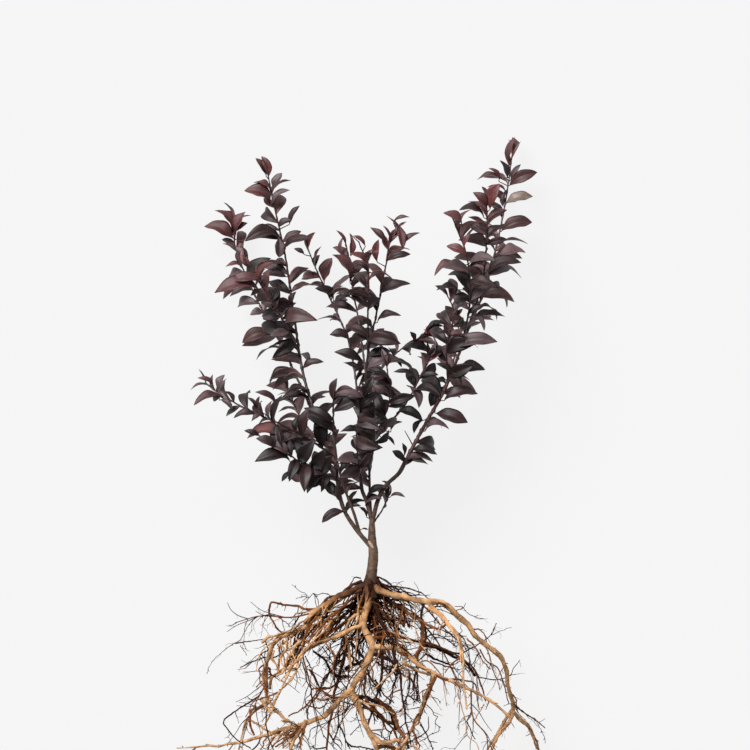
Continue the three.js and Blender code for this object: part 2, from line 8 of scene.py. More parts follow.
import bpy
import numpy as np
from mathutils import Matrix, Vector


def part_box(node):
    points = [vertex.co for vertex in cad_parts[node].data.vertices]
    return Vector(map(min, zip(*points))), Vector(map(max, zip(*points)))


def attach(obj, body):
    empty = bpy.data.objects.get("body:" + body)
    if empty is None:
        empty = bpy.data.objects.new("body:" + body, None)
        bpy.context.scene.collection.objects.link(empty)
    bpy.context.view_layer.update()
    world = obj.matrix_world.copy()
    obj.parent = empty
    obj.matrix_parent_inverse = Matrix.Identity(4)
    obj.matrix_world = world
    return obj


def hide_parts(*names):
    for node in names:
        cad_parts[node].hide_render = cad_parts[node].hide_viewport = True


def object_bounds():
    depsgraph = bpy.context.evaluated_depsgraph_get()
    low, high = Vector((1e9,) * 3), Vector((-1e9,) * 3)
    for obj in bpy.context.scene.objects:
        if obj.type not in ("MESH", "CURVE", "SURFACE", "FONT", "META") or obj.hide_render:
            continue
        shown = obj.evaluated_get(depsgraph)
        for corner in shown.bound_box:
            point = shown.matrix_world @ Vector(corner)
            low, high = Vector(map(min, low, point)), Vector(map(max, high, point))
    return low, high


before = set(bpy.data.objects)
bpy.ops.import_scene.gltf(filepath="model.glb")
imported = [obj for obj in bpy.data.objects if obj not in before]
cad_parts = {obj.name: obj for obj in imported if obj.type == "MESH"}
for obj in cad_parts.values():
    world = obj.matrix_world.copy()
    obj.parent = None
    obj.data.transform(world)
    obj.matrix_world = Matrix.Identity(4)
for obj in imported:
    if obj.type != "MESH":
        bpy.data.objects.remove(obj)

MM = 0.001
CAD_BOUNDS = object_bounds()
rng = np.random.default_rng(20)

# Limbs by the rule of the solids, and the spacing of the bends and swells that only this scene has
LIMB_STEP = 27
TRUNK_SIDES = 12
FLARE_FADE = 8
BEND_SPACING = 17
SWELL_SPACING = 8

# Leaves by the rule of the solids: millimetres, degrees and shares
LEAF_LENGTH = 56
LEAF_WIDTH = 24
LEAF_STEP = 16
LEAF_ARCH = 0.85
YOUNG_STRETCH = 85
YOUNG_SIZE = 0.68
OPEN_SPREAD = 62
YOUNG_SPREAD = 28
LAST_SPREAD = 8
LEAN_RANGE = 30
TURN_RANGE = 110
UNDERSIDE_SHARE = 0.25
LEAF_ROOM = 11
LEAF_ATTEMPTS = 10
SPACE_MARGIN = 14
SHOOT_TIP_RADIUS = 0.9
LEAF_SHORTEN = 0.12
LEAF_CREST = 0.7
ROLL_RANGE = (20, 62)
SIZE_RANGE = (0.86, 1.22)
CURL_RANGE = (0.5, 1.3)
LAST_LEAF_AT = 0.995
TIP_CROWDING = 0.8
LEAF_ROOT = 1
LEAF_SEED_STEP = 101
ATTEMPT_SEED_STEP = 10007
VARIANT_SEED_STEP = 40503
ATTEMPTS_ON_ONE_SIDE = 5
OPENING_MARGIN = 5
MARK_SHARES = [0.4, 0.7, 1]

# Leaves that only this scene has
LEAF_SIZE = 0.93
LEAF_BREADTH = 0.93
BOUGH_LEAF_STEP = 15
BOUGH_LEAF_SIZE = 0.72
BETWEEN_LEAF_STEP = 22
BETWEEN_LEAF_SIZE = 0.62
SMALL_LEAF_ROOM = 6.5
STEEP_LEAF_ARCH = 0.3
PLACED_AGE = 0.4
HIDING_SHARE = 0.28
WIDTH_SEEN = 0.7

# Rootlets by the rule of the solids
ROOTLET_STEP = 22
ROOTLET_LENGTH = 64
ROOTLET_RADIUS = 0.75
ROOTLET_PIECES = 3
ROOTLET_BEND = 0.55
SPRAY_RADIUS = 1.5
SPRAY_TIP_RADIUS = 0.7
SPRAY_WANDER = 0.16
ROOTLET_TURN = 2.4
ROOTLET_SPREAD = (0.9, 0.4)
ROOTLET_RANGE = (0.7, 1.2)
ROOTLET_ROOT = 0.5
ROOTLET_LAST_AT = 0.97

# Name, thick and thin radius, route, and extras: the same limbs as the solids
LIMBS = [
    ("trunk", (8.8, 4.2),
     [(-2, -27, 0), (-2, -4, 0), (2, 36, 0), (0, 63, 0), (0, 90, 0)], {"flare": 1.5, "taper": 1.8}),
    ("bough_centre", (3.2, 2.2),
     [(0, 88, 0), (-8, 117, 2), (-16, 141, 0), (-16, 186, -4), (-15, 225, -6)], {}),
    ("bough_left", (3.6, 2.4),
     [(1, 47, 0), (-28, 82, 4), (-46, 117, 4), (-58, 186, -8), (-75, 219, -14)], {}),
    ("bough_right", (3.3, 3.1),
     [(0, 86, 0), (9, 120, 8), (21, 142, 12), (40, 160, 10), (50, 178, 8)], {}),
    ("bough_left_inner", (2.4, 1.7),
     [(-18, 69, 2), (-27, 100, 18), (-39, 132, 26), (-52, 177, 30), (-57, 219, 34)], {}),
    ("bough_centre_right", (2.2, 1.7),
     [(-1, 88, -1), (-3, 123, -18), (-4, 165, -24), (-3, 201, -24)], {}),
    ("tap_root", (5.6, 1.2), [(-2, -24, 0), (-13, -63, 16), (1, -102, 24), (-15, -138, 18),
     (-29, -164, 12), (-20, -194, 10), (10, -258, 4), (15, -312, -6), (4, -366, -24)], {"taper": 1.8}),
    ("right_root", (5.4, 4.1),
     [(0, -8, 0), (36, -24, 16), (82, -31, 24), (110, -36, 22), (130, -55, 14)], {}),
    ("right_root_low", (4.1, 3),
     [(130, -55, 14), (162, -90, -4), (196, -120, -28), (207, -159, -56), (213, -200, -84)], {}),
    ("right_root_outer", (2.8, 1),
     [(213, -200, -84), (238, -224, -104), (250, -252, -124), (262, -296, -147)], {}),
    ("right_root_inner", (2.5, 0.9),
     [(212, -196, -82), (190, -232, -78), (177, -254, -66), (162, -300, -48), (144, -348, -40)], {}),
    ("right_root_front", (3, 1.2),
     [(82, -31, 24), (108, -56, 44), (130, -88, 62), (136, -130, 82), (141, -190, 98)], {}),
    ("low_right_root", (3.7, 1.8), [(0, -98, 24), (36, -102, 34), (78, -132, 46), (120, -151, 50),
     (172, -176, 44), (206, -204, 36)], {}),
    ("low_right_root_side", (2.5, 1),
     [(92, -140, 48), (78, -180, 32), (56, -230, 10), (40, -273, -8), (32, -325, -26)], {}),
    ("dark_right_root", (3.4, 1.2),
     [(2, -16, -2), (36, -39, -24), (74, -63, -46), (82, -84, -58), (72, -112, -70), (62, -168, -92)],
     {}),
    ("thin_right_root", (2.4, 1),
     [(-3, -86, 20), (45, -86, -14), (112, -106, -62), (154, -138, -98), (172, -186, -134)], {}),
    ("left_root", (4.8, 3.7),
     [(-2, -4, 0), (-39, -20, 14), (-72, -36, 20), (-90, -50, 18), (-100, -70, 10)], {}),
    ("left_root_low", (3.7, 2.6),
     [(-100, -70, 10), (-144, -92, -14), (-159, -134, -44), (-158, -188, -76)], {}),
    ("left_root_outer", (2.2, 0.9),
     [(-158, -188, -76), (-182, -206, -98), (-198, -240, -120), (-206, -288, -146)], {}),
    ("inner_left_root", (3.4, 1.2), [(-3, -20, -2), (-34, -58, -20), (-42, -112, -48), (-54, -165, -70),
     (-64, -225, -90), (-72, -290, -104)], {}),
    ("mid_left_root", (3.3, 1), [(-13, -68, 18), (-42, -79, 36), (-87, -96, 62), (-118, -125, 84),
     (-134, -160, 100), (-166, -228, 112)], {}),
    ("sweep_root", (4.7, 3),
     [(-29, -163, 12), (-50, -178, 6), (-59, -196, -8), (-94, -214, -34), (-152, -234, -72)], {}),
    ("sweep_root_tip", (3, 1),
     [(-152, -234, -72), (-196, -246, -98), (-246, -254, -124), (-296, -258, -147)], {}),
    ("low_centre_root", (2.3, 0.9),
     [(-22, -190, 10), (8, -200, -18), (32, -228, -48), (50, -272, -72), (58, -322, -86)], {}),
    ("back_root", (3.6, 1.1),
     [(-2, -18, -2), (4, -56, -52), (16, -105, -88), (10, -165, -116), (-8, -230, -146)], {}),
    ("front_root", (2.9, 1),
     [(-2, -22, 2), (18, -66, 56), (38, -120, 88), (46, -180, 106), (58, -244, 114)], {}),
]

# Name, radius at the foot, bare share, density, variant of its leaves and route of each leafy shoot
SHOOTS = [
    ("shoot_left_tall", 2.5, 0.05, 1, 149, [(-75, 219, -14), (-102, 303, -30), (-116, 387, -38),
     (-129, 477, -34), (-146, 558, -26), (-157, 611, -20)]),
    ("shoot_left_inner", 1.6, 0.12, 1, 124,
     [(-108, 336, -33), (-130, 382, 0), (-153, 422, 18), (-184, 470, 28)]),
    ("shoot_left_outer", 2.1, 0.12, 1, 200, [(-76, 222, -15), (-106, 288, -52), (-136, 351, -80),
     (-176, 426, -101), (-204, 492, -108), (-210, 536, -106)]),
    ("shoot_low_left", 2, 0.12, 1, 87,
     [(-58, 186, -8), (-92, 210, 30), (-129, 230, 48), (-184, 255, 54), (-226, 278, 48),
     (-250, 296, 40)]),
    ("shoot_low_cluster", 1.7, 0.04, 1.4, 143,
     [(-52, 150, 0), (-81, 166, 36), (-114, 182, 66), (-144, 202, 84), (-168, 217, 92)]),
    ("shoot_left_foot", 1.4, 0.2, 1, 192,
     [(-44, 114, 4), (-62, 134, -24), (-86, 148, -44), (-104, 158, -56)]),
    ("shoot_left_back", 1.7, 0.1, 1, 140,
     [(-62, 194, -10), (-88, 218, -58), (-112, 250, -96), (-128, 286, -116)]),
    ("shoot_centre_small", 1.7, 0.05, 1, 158, [(-57, 219, 34), (-58, 255, 48), (-54, 296, 58)]),
    ("shoot_centre_tall", 2.3, 0.04, 1, 105, [(-15, 225, -6), (-10, 278, 10), (-6, 339, 28), (6, 396, 38),
     (20, 468, 46), (26, 504, 50), (36, 526, 50)]),
    ("shoot_centre_mid", 1.6, 0.08, 1, 129,
     [(-9, 305, 18), (-18, 375, -10), (-30, 444, -24), (-38, 500, -26)]),
    ("shoot_centre_high", 1.6, 0.1, 1, 155,
     [(-6, 345, 30), (-6, 410, 70), (-6, 467, 88), (-20, 506, 94)]),
    ("shoot_centre_left", 1.9, 0.1, 1, 60, [(-16, 210, -5), (-24, 296, -52), (-36, 360, -76),
     (-58, 412, -88), (-82, 462, -92), (-98, 502, -88)]),
    ("shoot_bud_twig", 1.6, 0.2, 1, 62,
     [(-15, 222, -6), (2, 296, -62), (34, 338, -84), (66, 360, -90), (84, 374, -90)]),
    ("shoot_right_low", 1.8, 0.05, 1, 84,
     [(-3, 201, -24), (18, 226, -6), (48, 261, 12), (68, 296, 22), (86, 336, 26)]),
    ("shoot_right_tall", 3, 0, 1, 30, [(50, 178, 8), (81, 236, 2), (112, 292, -8), (142, 369, -28),
     (174, 450, -68), (198, 549, -106), (213, 645, -122)]),
    ("shoot_right_mid", 1.8, 0.06, 1, 229,
     [(144, 376, -29), (166, 450, -12), (172, 510, 8), (172, 566, 14)]),
    ("shoot_right_left", 1.8, 0.08, 1, 69,
     [(134, 348, -21), (146, 414, 38), (142, 482, 62), (120, 542, 74)]),
    ("shoot_right_inner", 1.6, 0.08, 1, 92,
     [(114, 297, -9), (112, 346, 30), (122, 400, 48), (106, 440, 52)]),
    ("shoot_right_back", 1.6, 0.1, 1, 32,
     [(100, 270, -5), (118, 312, -60), (130, 362, -100), (128, 408, -116)]),
    ("shoot_right_small", 1.4, 0.3, 1, 38, [(0, 82, 0), (17, 108, -10), (28, 134, -14)]),
    ("shoot_front_low", 1.6, 0.15, 1, 232,
     [(-16, 153, -1), (-22, 190, 44), (-22, 232, 84), (-12, 276, 110)]),
    ("shoot_front_right", 1.5, 0.15, 1, 238, [(-4, 168, -24), (2, 196, 20), (4, 232, 54), (2, 270, 80)]),
    ("shoot_back_low", 1.6, 0.2, 1, 210, [(-4, 157, -23), (2, 198, -66), (4, 243, -98), (6, 292, -116)]),
    ("shoot_mid_right", 1.6, 0.12, 1, 96, [(-4, 185, -24), (10, 226, 26), (26, 270, 62), (22, 322, 84)]),
]

# Openings right through the crown, seen from above: middle and radius
OPENINGS = [
    (-165, 498, 14), (-116, 489, 14), (-92, 417, 17), (-99, 375, 13), (-81, 354, 21), (-60, 321, 15),
    (-81, 303, 17), (-39, 306, 12), (-54, 462, 10), (-39, 243, 12), (-42, 201, 11), (3, 444, 9),
    (36, 468, 13), (33, 423, 15), (69, 414, 30), (42, 381, 15), (39, 297, 10), (54, 240, 9),
    (39, 216, 11), (18, 174, 19), (105, 525, 19), (159, 495, 9),
]

# Smaller openings of the crown, where no leaf stays that would mostly lie in one
SMALL_OPENINGS = [
    (-18, 490, 8), (-36, 400, 8), (-8, 406, 7), (-68, 372, 10), (216, 558, 8), (232, 633, 10),
    (178, 495, 7), (153, 338, 11), (165, 346, 7), (184, 387, 10), (90, 315, 6), (122, 266, 8),
    (87, 212, 7), (8, 268, 7), (27, 206, 8), (46, 158, 10), (27, 146, 7), (42, 141, 10), (39, 116, 10),
    (24, 102, 7), (-80, 126, 10), (-102, 142, 8), (-162, 198, 8), (-153, 180, 6), (-184, 234, 10),
    (-196, 226, 7), (-230, 249, 10), (-190, 272, 7), (-262, 306, 8), (-68, 243, 7), (-140, 297, 7),
    (-168, 340, 8), (-178, 350, 7), (-118, 328, 6), (-99, 340, 7), (-136, 369, 6), (-184, 387, 10),
    (-136, 426, 7), (-140, 464, 7), (-111, 470, 8), (-84, 498, 8), (-93, 518, 7), (-216, 432, 8),
    (-130, 544, 6), (116, 418, 8), (90, 450, 10), (-24, 524, 7), (116, 564, 8), (27, 309, 7),
    (30, 372, 7), (-104, 436, 9), (9, 477, 8), (148, 338, 10), (162, 345, 8), (117, 264, 10),
    (116, 478, 9), (-69, 244, 8), (29, 251, 11), (78, 271, 12), (10, 267, 8), (-140, 294, 8),
    (122, 417, 8), (-228, 237, 8), (-201, 232, 7), (-54, 317, 9), (-34, 394, 13), (0, 401, 9),
    (160, 369, 7), (138, 330, 8), (-164, 201, 8), (226, 600, 8), (-176, 200, 7), (222, 556, 12),
    (230, 592, 8), (105, 452, 6), (18, 314, 8), (230, 552, 8), (39, 108, 8),
]

# Name, carrier, place on it, course and length of each spray of rootlets
SPRAYS = [
    ("rootlets_left_top", "left_root", 0.8, (-1, -0.08, 0.35), 130),
    ("rootlets_left_low", "left_root_low", 0.55, (-0.25, -1, 0.5), 115),
    ("rootlets_mid_left", "mid_left_root", 0.45, (0.25, -1, -0.1), 120),
    ("rootlets_centre_left", "tap_root", 0.22, (-0.5, -1, -0.3), 120),
    ("rootlets_centre_front", "front_root", 0.3, (-0.35, -1, 0.25), 140),
    ("rootlets_centre_back", "back_root", 0.35, (-0.45, -1, -0.2), 130),
    ("rootlets_dark_right", "dark_right_root", 0.5, (0.6, -1, -0.3), 120),
    ("rootlets_right_top", "right_root", 0.5, (0.9, -0.9, -0.65), 110),
    ("rootlets_right_low", "low_right_root", 0.7, (0.25, -1, 0.15), 115),
    ("rootlets_sweep", "sweep_root", 0.6, (-0.1, -1, 0.55), 100),
]


def lerp(start, end, share):
    return start + (end - start) * share


def seeded_random(seed):
    """The source's random numbers, so that leaves and rootlets grow as in the solids"""
    state = seed & 0xFFFFFFFF

    def draw():
        nonlocal state
        state = (state * 1664525 + 1013904223) & 0xFFFFFFFF
        return state / 4294967296
    return draw


def seed_of(name):
    seed = 7
    for letter in name:
        seed = (seed * 31 + ord(letter)) & 0xFFFFFFFF
    return seed


def unit(vector):
    return vector / np.linalg.norm(vector)


def curve_at(points, times):
    """Points of the smooth curve through the given ones, at times from 0 to 1"""
    last = len(points) - 1
    place = np.atleast_1d(times) * last
    index = np.minimum(np.floor(place).astype(int), last - 1)
    t = (place - index)[:, None]
    ends = np.vstack([2 * points[0] - points[1], points, 2 * points[-1] - points[-2]])
    before, a, b, after = ends[index], ends[index + 1], ends[index + 2], ends[index + 3]
    leave, arrive = (b - before) / 2, (after - a) / 2
    return (a + leave * t + (3 * (b - a) - 2 * leave - arrive) * t ** 2
            + (2 * (a - b) + leave + arrive) * t ** 3)


class Course:
    """A smooth route through points, measured by its own length"""

    DIVISIONS = 200
    NUDGE = 1e-4

    def __init__(self, route):
        self.points = np.array(route, float)
        self.times = np.linspace(0, 1, self.DIVISIONS + 1)
        steps = np.linalg.norm(np.diff(curve_at(self.points, self.times), axis=0), axis=1)
        self.lengths = np.concatenate([[0], np.cumsum(steps)])
        self.length = self.lengths[-1]

    def at(self, shares):
        times = np.interp(np.atleast_1d(shares) * self.length, self.lengths, self.times)
        return curve_at(self.points, times)

    def frame(self, share):
        """A point of the course, with the directions ahead, to its side and to its front"""
        time = float(np.interp(share * self.length, self.lengths, self.times))
        near, far = curve_at(self.points, [max(0, time - self.NUDGE), min(1, time + self.NUDGE)])
        ahead = unit(far - near)
        side = unit(np.cross(ahead, (0, 0, 1)))
        return curve_at(self.points, [time])[0], ahead, side, np.cross(side, ahead)


def limb_radius(radius, share, flare=0, taper=1):
    return lerp(radius[0], radius[1], share ** taper) + flare * np.exp(-FLARE_FADE * share)


def plant_offset():
    """Millimetres from the routes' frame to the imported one, read off the trunk's box"""
    name, radius, route, extras = LIMBS[0]
    course = Course(route)
    count = max(2, round(course.length / LIMB_STEP))
    ring = []
    for k in range(count + 1):
        point, _, side, front = course.frame(k / count)
        reach = limb_radius(radius, k / count, **extras)
        for corner in range(TRUNK_SIDES):
            angle = corner / TRUNK_SIDES * 2 * math.pi
            ring.append(point + reach * (math.cos(angle) * front + math.sin(angle) * side))
    low = np.min(ring, axis=0)
    return np.array(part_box(name)[0]) / MM - low


OFFSET = plant_offset()


# Meshes

class Builder:
    """Collects vertices and faces in millimetres and makes one object of them"""

    STEEP = 0.9
    TINY = 1e-12
    FOOT_CAP = 0.3
    HEAD_CAP = 0.8

    def __init__(self, name, slot, replaces=()):
        self.name, self.slot, self.replaces = name, slot, replaces
        self.points, self.faces, self.count = [], [], 0

    def add(self, points, groups):
        """Points, and groups of faces, each with the number of its material"""
        self.points.append(points)
        for faces, kind in groups:
            self.faces.append((faces + self.count, kind))
        self.count += len(points)

    def rings(self, path, sides):
        """The directions ahead, and those from the path to the corners of each ring"""
        ahead = np.gradient(path, axis=0)
        ahead /= np.linalg.norm(ahead, axis=1)[:, None] + self.TINY
        guide = np.where(np.abs(ahead[:, 2:3]) > self.STEEP, [[1.0, 0, 0]], [[0, 0, 1.0]])
        if np.abs(ahead[:, 2]).max() > self.STEEP:
            guide = np.repeat([[1.0, 0, 0]], len(path), axis=0)
        side = np.cross(ahead, guide)
        side /= np.linalg.norm(side, axis=1)[:, None] + self.TINY
        front = np.cross(side, ahead)
        angles = (np.arange(sides) / sides * 2 * math.pi)[None, :, None]
        return ahead, np.cos(angles) * front[:, None] + np.sin(angles) * side[:, None]

    def tube(self, path, radii, sides, kind=0):
        """A closed tube along a path of points, drawn in to a small tip"""
        path, radii = np.asarray(path, float), np.asarray(radii, float)
        ahead, ring = self.rings(path, sides)
        if radii.ndim == 1:
            radii = np.repeat(radii[:, None], sides, axis=1)
        points = path[:, None] + ring * radii[:, :, None]
        tips = np.array([path[0] - ahead[0] * radii[0].mean() * self.FOOT_CAP,
                         path[-1] + ahead[-1] * radii[-1].mean() * self.HEAD_CAP])
        points = np.vstack([points.reshape(-1, 3), tips])
        k = np.arange(sides)
        nxt = (k + 1) % sides
        rows = (np.arange(len(path) - 1) * sides)[:, None]
        quads = np.stack([rows + k, rows + nxt, rows + nxt + sides, rows + k + sides], axis=-1)
        foot, head = len(path) * sides, len(path) * sides + 1
        top = (len(path) - 1) * sides
        caps = [np.stack([np.full(sides, foot), nxt, k, k], -1),
                np.stack([np.full(sides, head), top + k, top + nxt, top + nxt], -1)]
        self.add(points, [(np.vstack([quads.reshape(-1, 4), *caps]), kind)])

    def build(self, materials):
        points = (np.vstack(self.points) + OFFSET) * MM
        faces = np.vstack([group for group, _ in self.faces])
        kinds = np.concatenate([np.full(len(group), kind) for group, kind in self.faces])
        corners = np.where(faces[:, 2] == faces[:, 3], 3, 4)
        used = np.arange(4)[None, :] < corners[:, None]
        mesh = bpy.data.meshes.new(self.name)
        mesh.vertices.add(len(points))
        mesh.vertices.foreach_set("co", points.ravel())
        mesh.loops.add(int(corners.sum()))
        mesh.loops.foreach_set("vertex_index", faces[used])
        mesh.polygons.add(len(faces))
        mesh.polygons.foreach_set("loop_start", np.concatenate([[0], np.cumsum(corners)[:-1]]))
        mesh.polygons.foreach_set("material_index", kinds)
        mesh.polygons.foreach_set("use_smooth", np.ones(len(faces), bool))
        for material in materials:
            mesh.materials.append(material)
        mesh.update(calc_edges=True)
        piece = bpy.data.objects.new(self.name, mesh)
        bpy.context.scene.collection.objects.link(piece)
        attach(piece, "root")
        if self.replaces:
            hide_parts(*self.replaces)


# Materials

NOISE_DETAIL = 6
SHADE_STOPS = (0.32, 0.68)
RELIEF_DEPTH = 0.0006


def add_node(tree, kind, **inputs):
    """A shader node with some inputs set, whose names have underscores in place of spaces"""
    node = tree.nodes.new("ShaderNode" + kind)
    for name, value in inputs.items():
        node.inputs[name.replace("_", " ")].default_value = value
    return node


def add_noise(tree, place, scale):
    texture = add_node(tree, "TexNoise", Scale=scale, Detail=NOISE_DETAIL)
    tree.links.new(place.outputs["Object"], texture.inputs["Vector"])
    return texture.outputs["Fac"]


def add_stops(tree, place, stops):
    """Colours along the plant, each with its distance from the collar in millimetres"""
    parts = add_node(tree, "SeparateXYZ")
    tree.links.new(place.outputs["Object"], parts.inputs["Vector"])
    low, high = stops[0][0], stops[-1][0]
    along = add_node(tree, "MapRange", From_Min=(low + OFFSET[1]) * MM, From_Max=(high + OFFSET[1]) * MM)
    tree.links.new(parts.outputs["Y"], along.inputs["Value"])
    tint = add_node(tree, "ValToRGB")
    elements = tint.color_ramp.elements
    for n, (where, stop) in enumerate(stops):
        share = (where - low) / (high - low)
        if n in (0, len(stops) - 1):
            element = elements[0 if n == 0 else -1]
        else:
            element = elements.new(share)
        element.position = share
        element.color = (*stop, 1)
    tree.links.new(along.outputs["Result"], tint.inputs["Fac"])
    return tint.outputs["Color"]


def new_material(name, colour, roughness, noise=0.12, scale=300, bump=0.0, bump_scale=900, specular=0.5,
                 glow=0.0):
    """A surface whose colour varies a little about a base, or about stops along the plant"""
    material = bpy.data.materials.new(name)
    material.use_nodes = True
    tree = material.node_tree
    links = tree.links
    shader = tree.nodes["Principled BSDF"]
    shader.inputs["Roughness"].default_value = roughness
    shader.inputs["Specular IOR Level"].default_value = specular
    shader.inputs["Emission Color"].default_value = (1, 1, 1, 1)
    shader.inputs["Emission Strength"].default_value = glow
    place = add_node(tree, "TexCoord")
    varied = add_noise(tree, place, scale)
    shade = add_node(tree, "ValToRGB")
    links.new(varied, shade.inputs["Fac"])
    has_stops = isinstance(colour, list)
    base = (1, 1, 1) if has_stops else colour
    for n, change in enumerate((-noise, noise)):
        element = shade.color_ramp.elements[n]
        element.position = SHADE_STOPS[n]
        element.color = (*[channel * (1 + change) for channel in base], 1)
    surface = shade.outputs["Color"]
    if has_stops:
        tint = add_stops(tree, place, colour)
        mix = add_node(tree, "Mix")
        mix.data_type = "RGBA"
        mix.blend_type = "MULTIPLY"
        mix.inputs["Factor"].default_value = 1
        links.new(tint, mix.inputs["A"])
        links.new(surface, mix.inputs["B"])
        surface = mix.outputs["Result"]
    links.new(surface, shader.inputs["Base Color"])
    if bump:
        height = add_noise(tree, place, bump_scale)
        relief = add_node(tree, "Bump", Strength=bump, Distance=RELIEF_DEPTH)
        links.new(height, relief.inputs["Height"])
        links.new(relief.outputs["Normal"], shader.inputs["Normal"])
    return material


def srgb(red, green, blue):
    """A colour as eyes see it, 0 to 255, as the shader wants it"""
    def linear(value):
        value /= 255
        return value / 12.92 if value <= 0.04045 else ((value + 0.055) / 1.055) ** 2.4
    return tuple(linear(channel) for channel in (red, green, blue))


# Leaves

def leaf_points(leaf, shares):
    """Points of the midrib at shares of the leaf's length"""
    shares = np.atleast_1d(shares)[:, None]
    reach = leaf["length"]
    return (leaf["base"] + leaf["axis"] * reach * shares * (1 - LEAF_SHORTEN * shares)
            + leaf["normal"] * reach * leaf["arch"] * shares * (LEAF_CREST - shares))


def draw_leaf(course, share, rank, is_last, random):
    """A leaf of a shoot, by the rule of the solids"""
    turn, lean, size, roll, flip, curl = [random() for _ in range(6)]
    age = min(1, (1 - share) * course.length / YOUNG_STRETCH)
    point, ahead, side, front = course.frame(share)
    around = math.radians((rank % 2) * 180 + (turn - 0.5) * TURN_RANGE)
    opening = LAST_SPREAD if is_last else lerp(YOUNG_SPREAD, OPEN_SPREAD, age) + (lean - 0.5) * LEAN_RANGE
    spread = math.radians(opening)
    out = side * math.cos(around) + front * math.sin(around)
    axis = ahead * math.cos(spread) + out * math.sin(spread)
    upper = ahead * math.sin(spread) - out * math.cos(spread)
    edge = np.cross(axis, upper)
    facing = (-1 if edge[2] < 0 else 1) * (-1 if flip < UNDERSIDE_SHARE else 1)
    tilt = math.radians(lerp(*ROLL_RANGE, roll))
    normal = upper * math.cos(tilt) + edge * facing * math.sin(tilt)
    return {
        "base": point - axis * LEAF_ROOT,
        "axis": axis,
        "normal": normal,
        "across": np.cross(axis, normal),
        "length": LEAF_LENGTH * lerp(YOUNG_SIZE, 1, age) * lerp(*SIZE_RANGE, size),
        "arch": LEAF_ARCH * lerp(*CURL_RANGE, curl),
        "age": age,
        "chance": random(),
    }


def placed_leaf(foot, tip, roll, curl, chance, broad, tint=None):
    """A leaf between two given points, rolled by degrees from the picture's plane towards the viewer"""
    foot, tip = np.array(foot, float), np.array(tip, float)
    along = unit(tip - foot)
    upward = unit(np.cross((0, 0, 1), along))
    if upward[1] < 0:
        upward = -upward
    toward = np.cross(along, upward)
    toward *= 1 if toward[2] > 0 else -1
    crest = upward * math.cos(math.radians(roll)) + toward * math.sin(math.radians(roll))
    arch = LEAF_ARCH * curl * lerp(STEEP_LEAF_ARCH, 1, abs(along[0]))
    ahead, fall = 1 - LEAF_SHORTEN, arch * (1 - LEAF_CREST)
    chord = math.hypot(ahead, fall)
    axis = (ahead * along + fall * crest) / chord
    normal = (ahead * crest - fall * along) / chord
    return {
        "base": foot,
        "axis": axis,
        "normal": normal,
        "across": np.cross(axis, normal),
        "length": np.linalg.norm(tip - foot) / chord,
        "arch": arch,
        "age": PLACED_AGE,
        "chance": chance,
        "broad": broad,
        "tint": tint,
    }


def nearest(marks, point):
    """Distance from a point to the nearest mark"""
    if not len(marks):
        return math.inf
    return float(np.linalg.norm(np.asarray(marks) - point, axis=1).min())


SHOOT_NAMES = [shoot[0] for shoot in SHOOTS]
SPACES = [Course(shoot[-1]).at(np.linspace(0, 1, 25)) for shoot in SHOOTS]


def keeps_to_own_space(tip, own):
    reach = nearest(SPACES[own], tip) - SPACE_MARGIN
    return all(n == own or nearest(other, tip) > reach for n, other in enumerate(SPACES))


def closes_opening(spots):
    return any(math.hypot(spot[0] - x, spot[1] - y) < radius + OPENING_MARGIN
               for x, y, radius in OPENINGS for spot in spots)


def hides_opening(leaf):
    """Whether a good part of the leaf, seen from above, lies in openings"""
    shares = np.linspace(0.1, 1, 7)
    spine = leaf_points(leaf, shares)[:, :2]
    half = leaf["across"][:2] * leaf["length"] * LEAF_WIDTH / LEAF_LENGTH / 2 * WIDTH_SEEN
    half = np.sin(math.pi * shares)[:, None] * half
    spots = np.vstack([spine - half, spine, spine + half])
    inside = np.zeros(len(spots), bool)
    for x, y, radius in SMALL_OPENINGS + OPENINGS:
        inside |= np.hypot(spots[:, 0] - x, spots[:, 1] - y) < radius
    return inside.mean() > HIDING_SHARE


def grow_leaves(shoots, marks, leaf_step, size, clear):
    """The leaves of each shoot, by the rule of the solids"""
    grown = []
    for own, (name, bare, dense, variant, course) in enumerate(shoots):
        seed = seed_of(name) + variant * VARIANT_SEED_STEP
        stretch = course.length * (1 - bare)
        count = math.floor(stretch / leaf_step * dense + 0.5) + 2
        for k in range(count):
            share = lerp(bare, LAST_LEAF_AT, (k / (count - 1)) ** TIP_CROWDING)
            for attempt in range(LEAF_ATTEMPTS):
                random = seeded_random(seed + k * LEAF_SEED_STEP + attempt * ATTEMPT_SEED_STEP)
                rank = k if attempt < ATTEMPTS_ON_ONE_SIDE else k + 1
                leaf = draw_leaf(course, share, rank, k == count - 1, random)
                leaf["length"] *= size
                spots = leaf_points(leaf, MARK_SHARES)
                room = clear * leaf["length"] / LEAF_LENGTH
                if any(nearest(marks, spot) <= room for spot in spots) or closes_opening(spots):
                    continue
                if name in SHOOT_NAMES and not keeps_to_own_space(spots[2], own):
                    continue
                marks.extend(spots)
                grown.append(leaf)
                break
    return grown


# The blade's grid, its thickness and end widths in millimetres, its fold in degrees when young and old,
# and its other bends, margin and veins as shares
LEAF_ROWS = 15
LEAF_COLUMNS = 9
BLADE_THICKNESS = 0.22
SICKLE = 0.16
TWIST = 0.9
OUTLINE_LEAN = 1.05
OUTLINE_FULLNESS = 0.9
FOLD_RANGE = (42, 25)
MARGIN_SAG = 0.36
WAVE_HEIGHT = 0.09
VEIN_HEIGHT = 0.012
VEIN_PAIRS = 7
VEIN_SLANT = 1.1
END_WIDTHS = (0.35, 0.08)


def other_chance(leaf, factor):
    """Another number from 0 to 1 that belongs to the leaf"""
    return (leaf["chance"] * factor) % 1


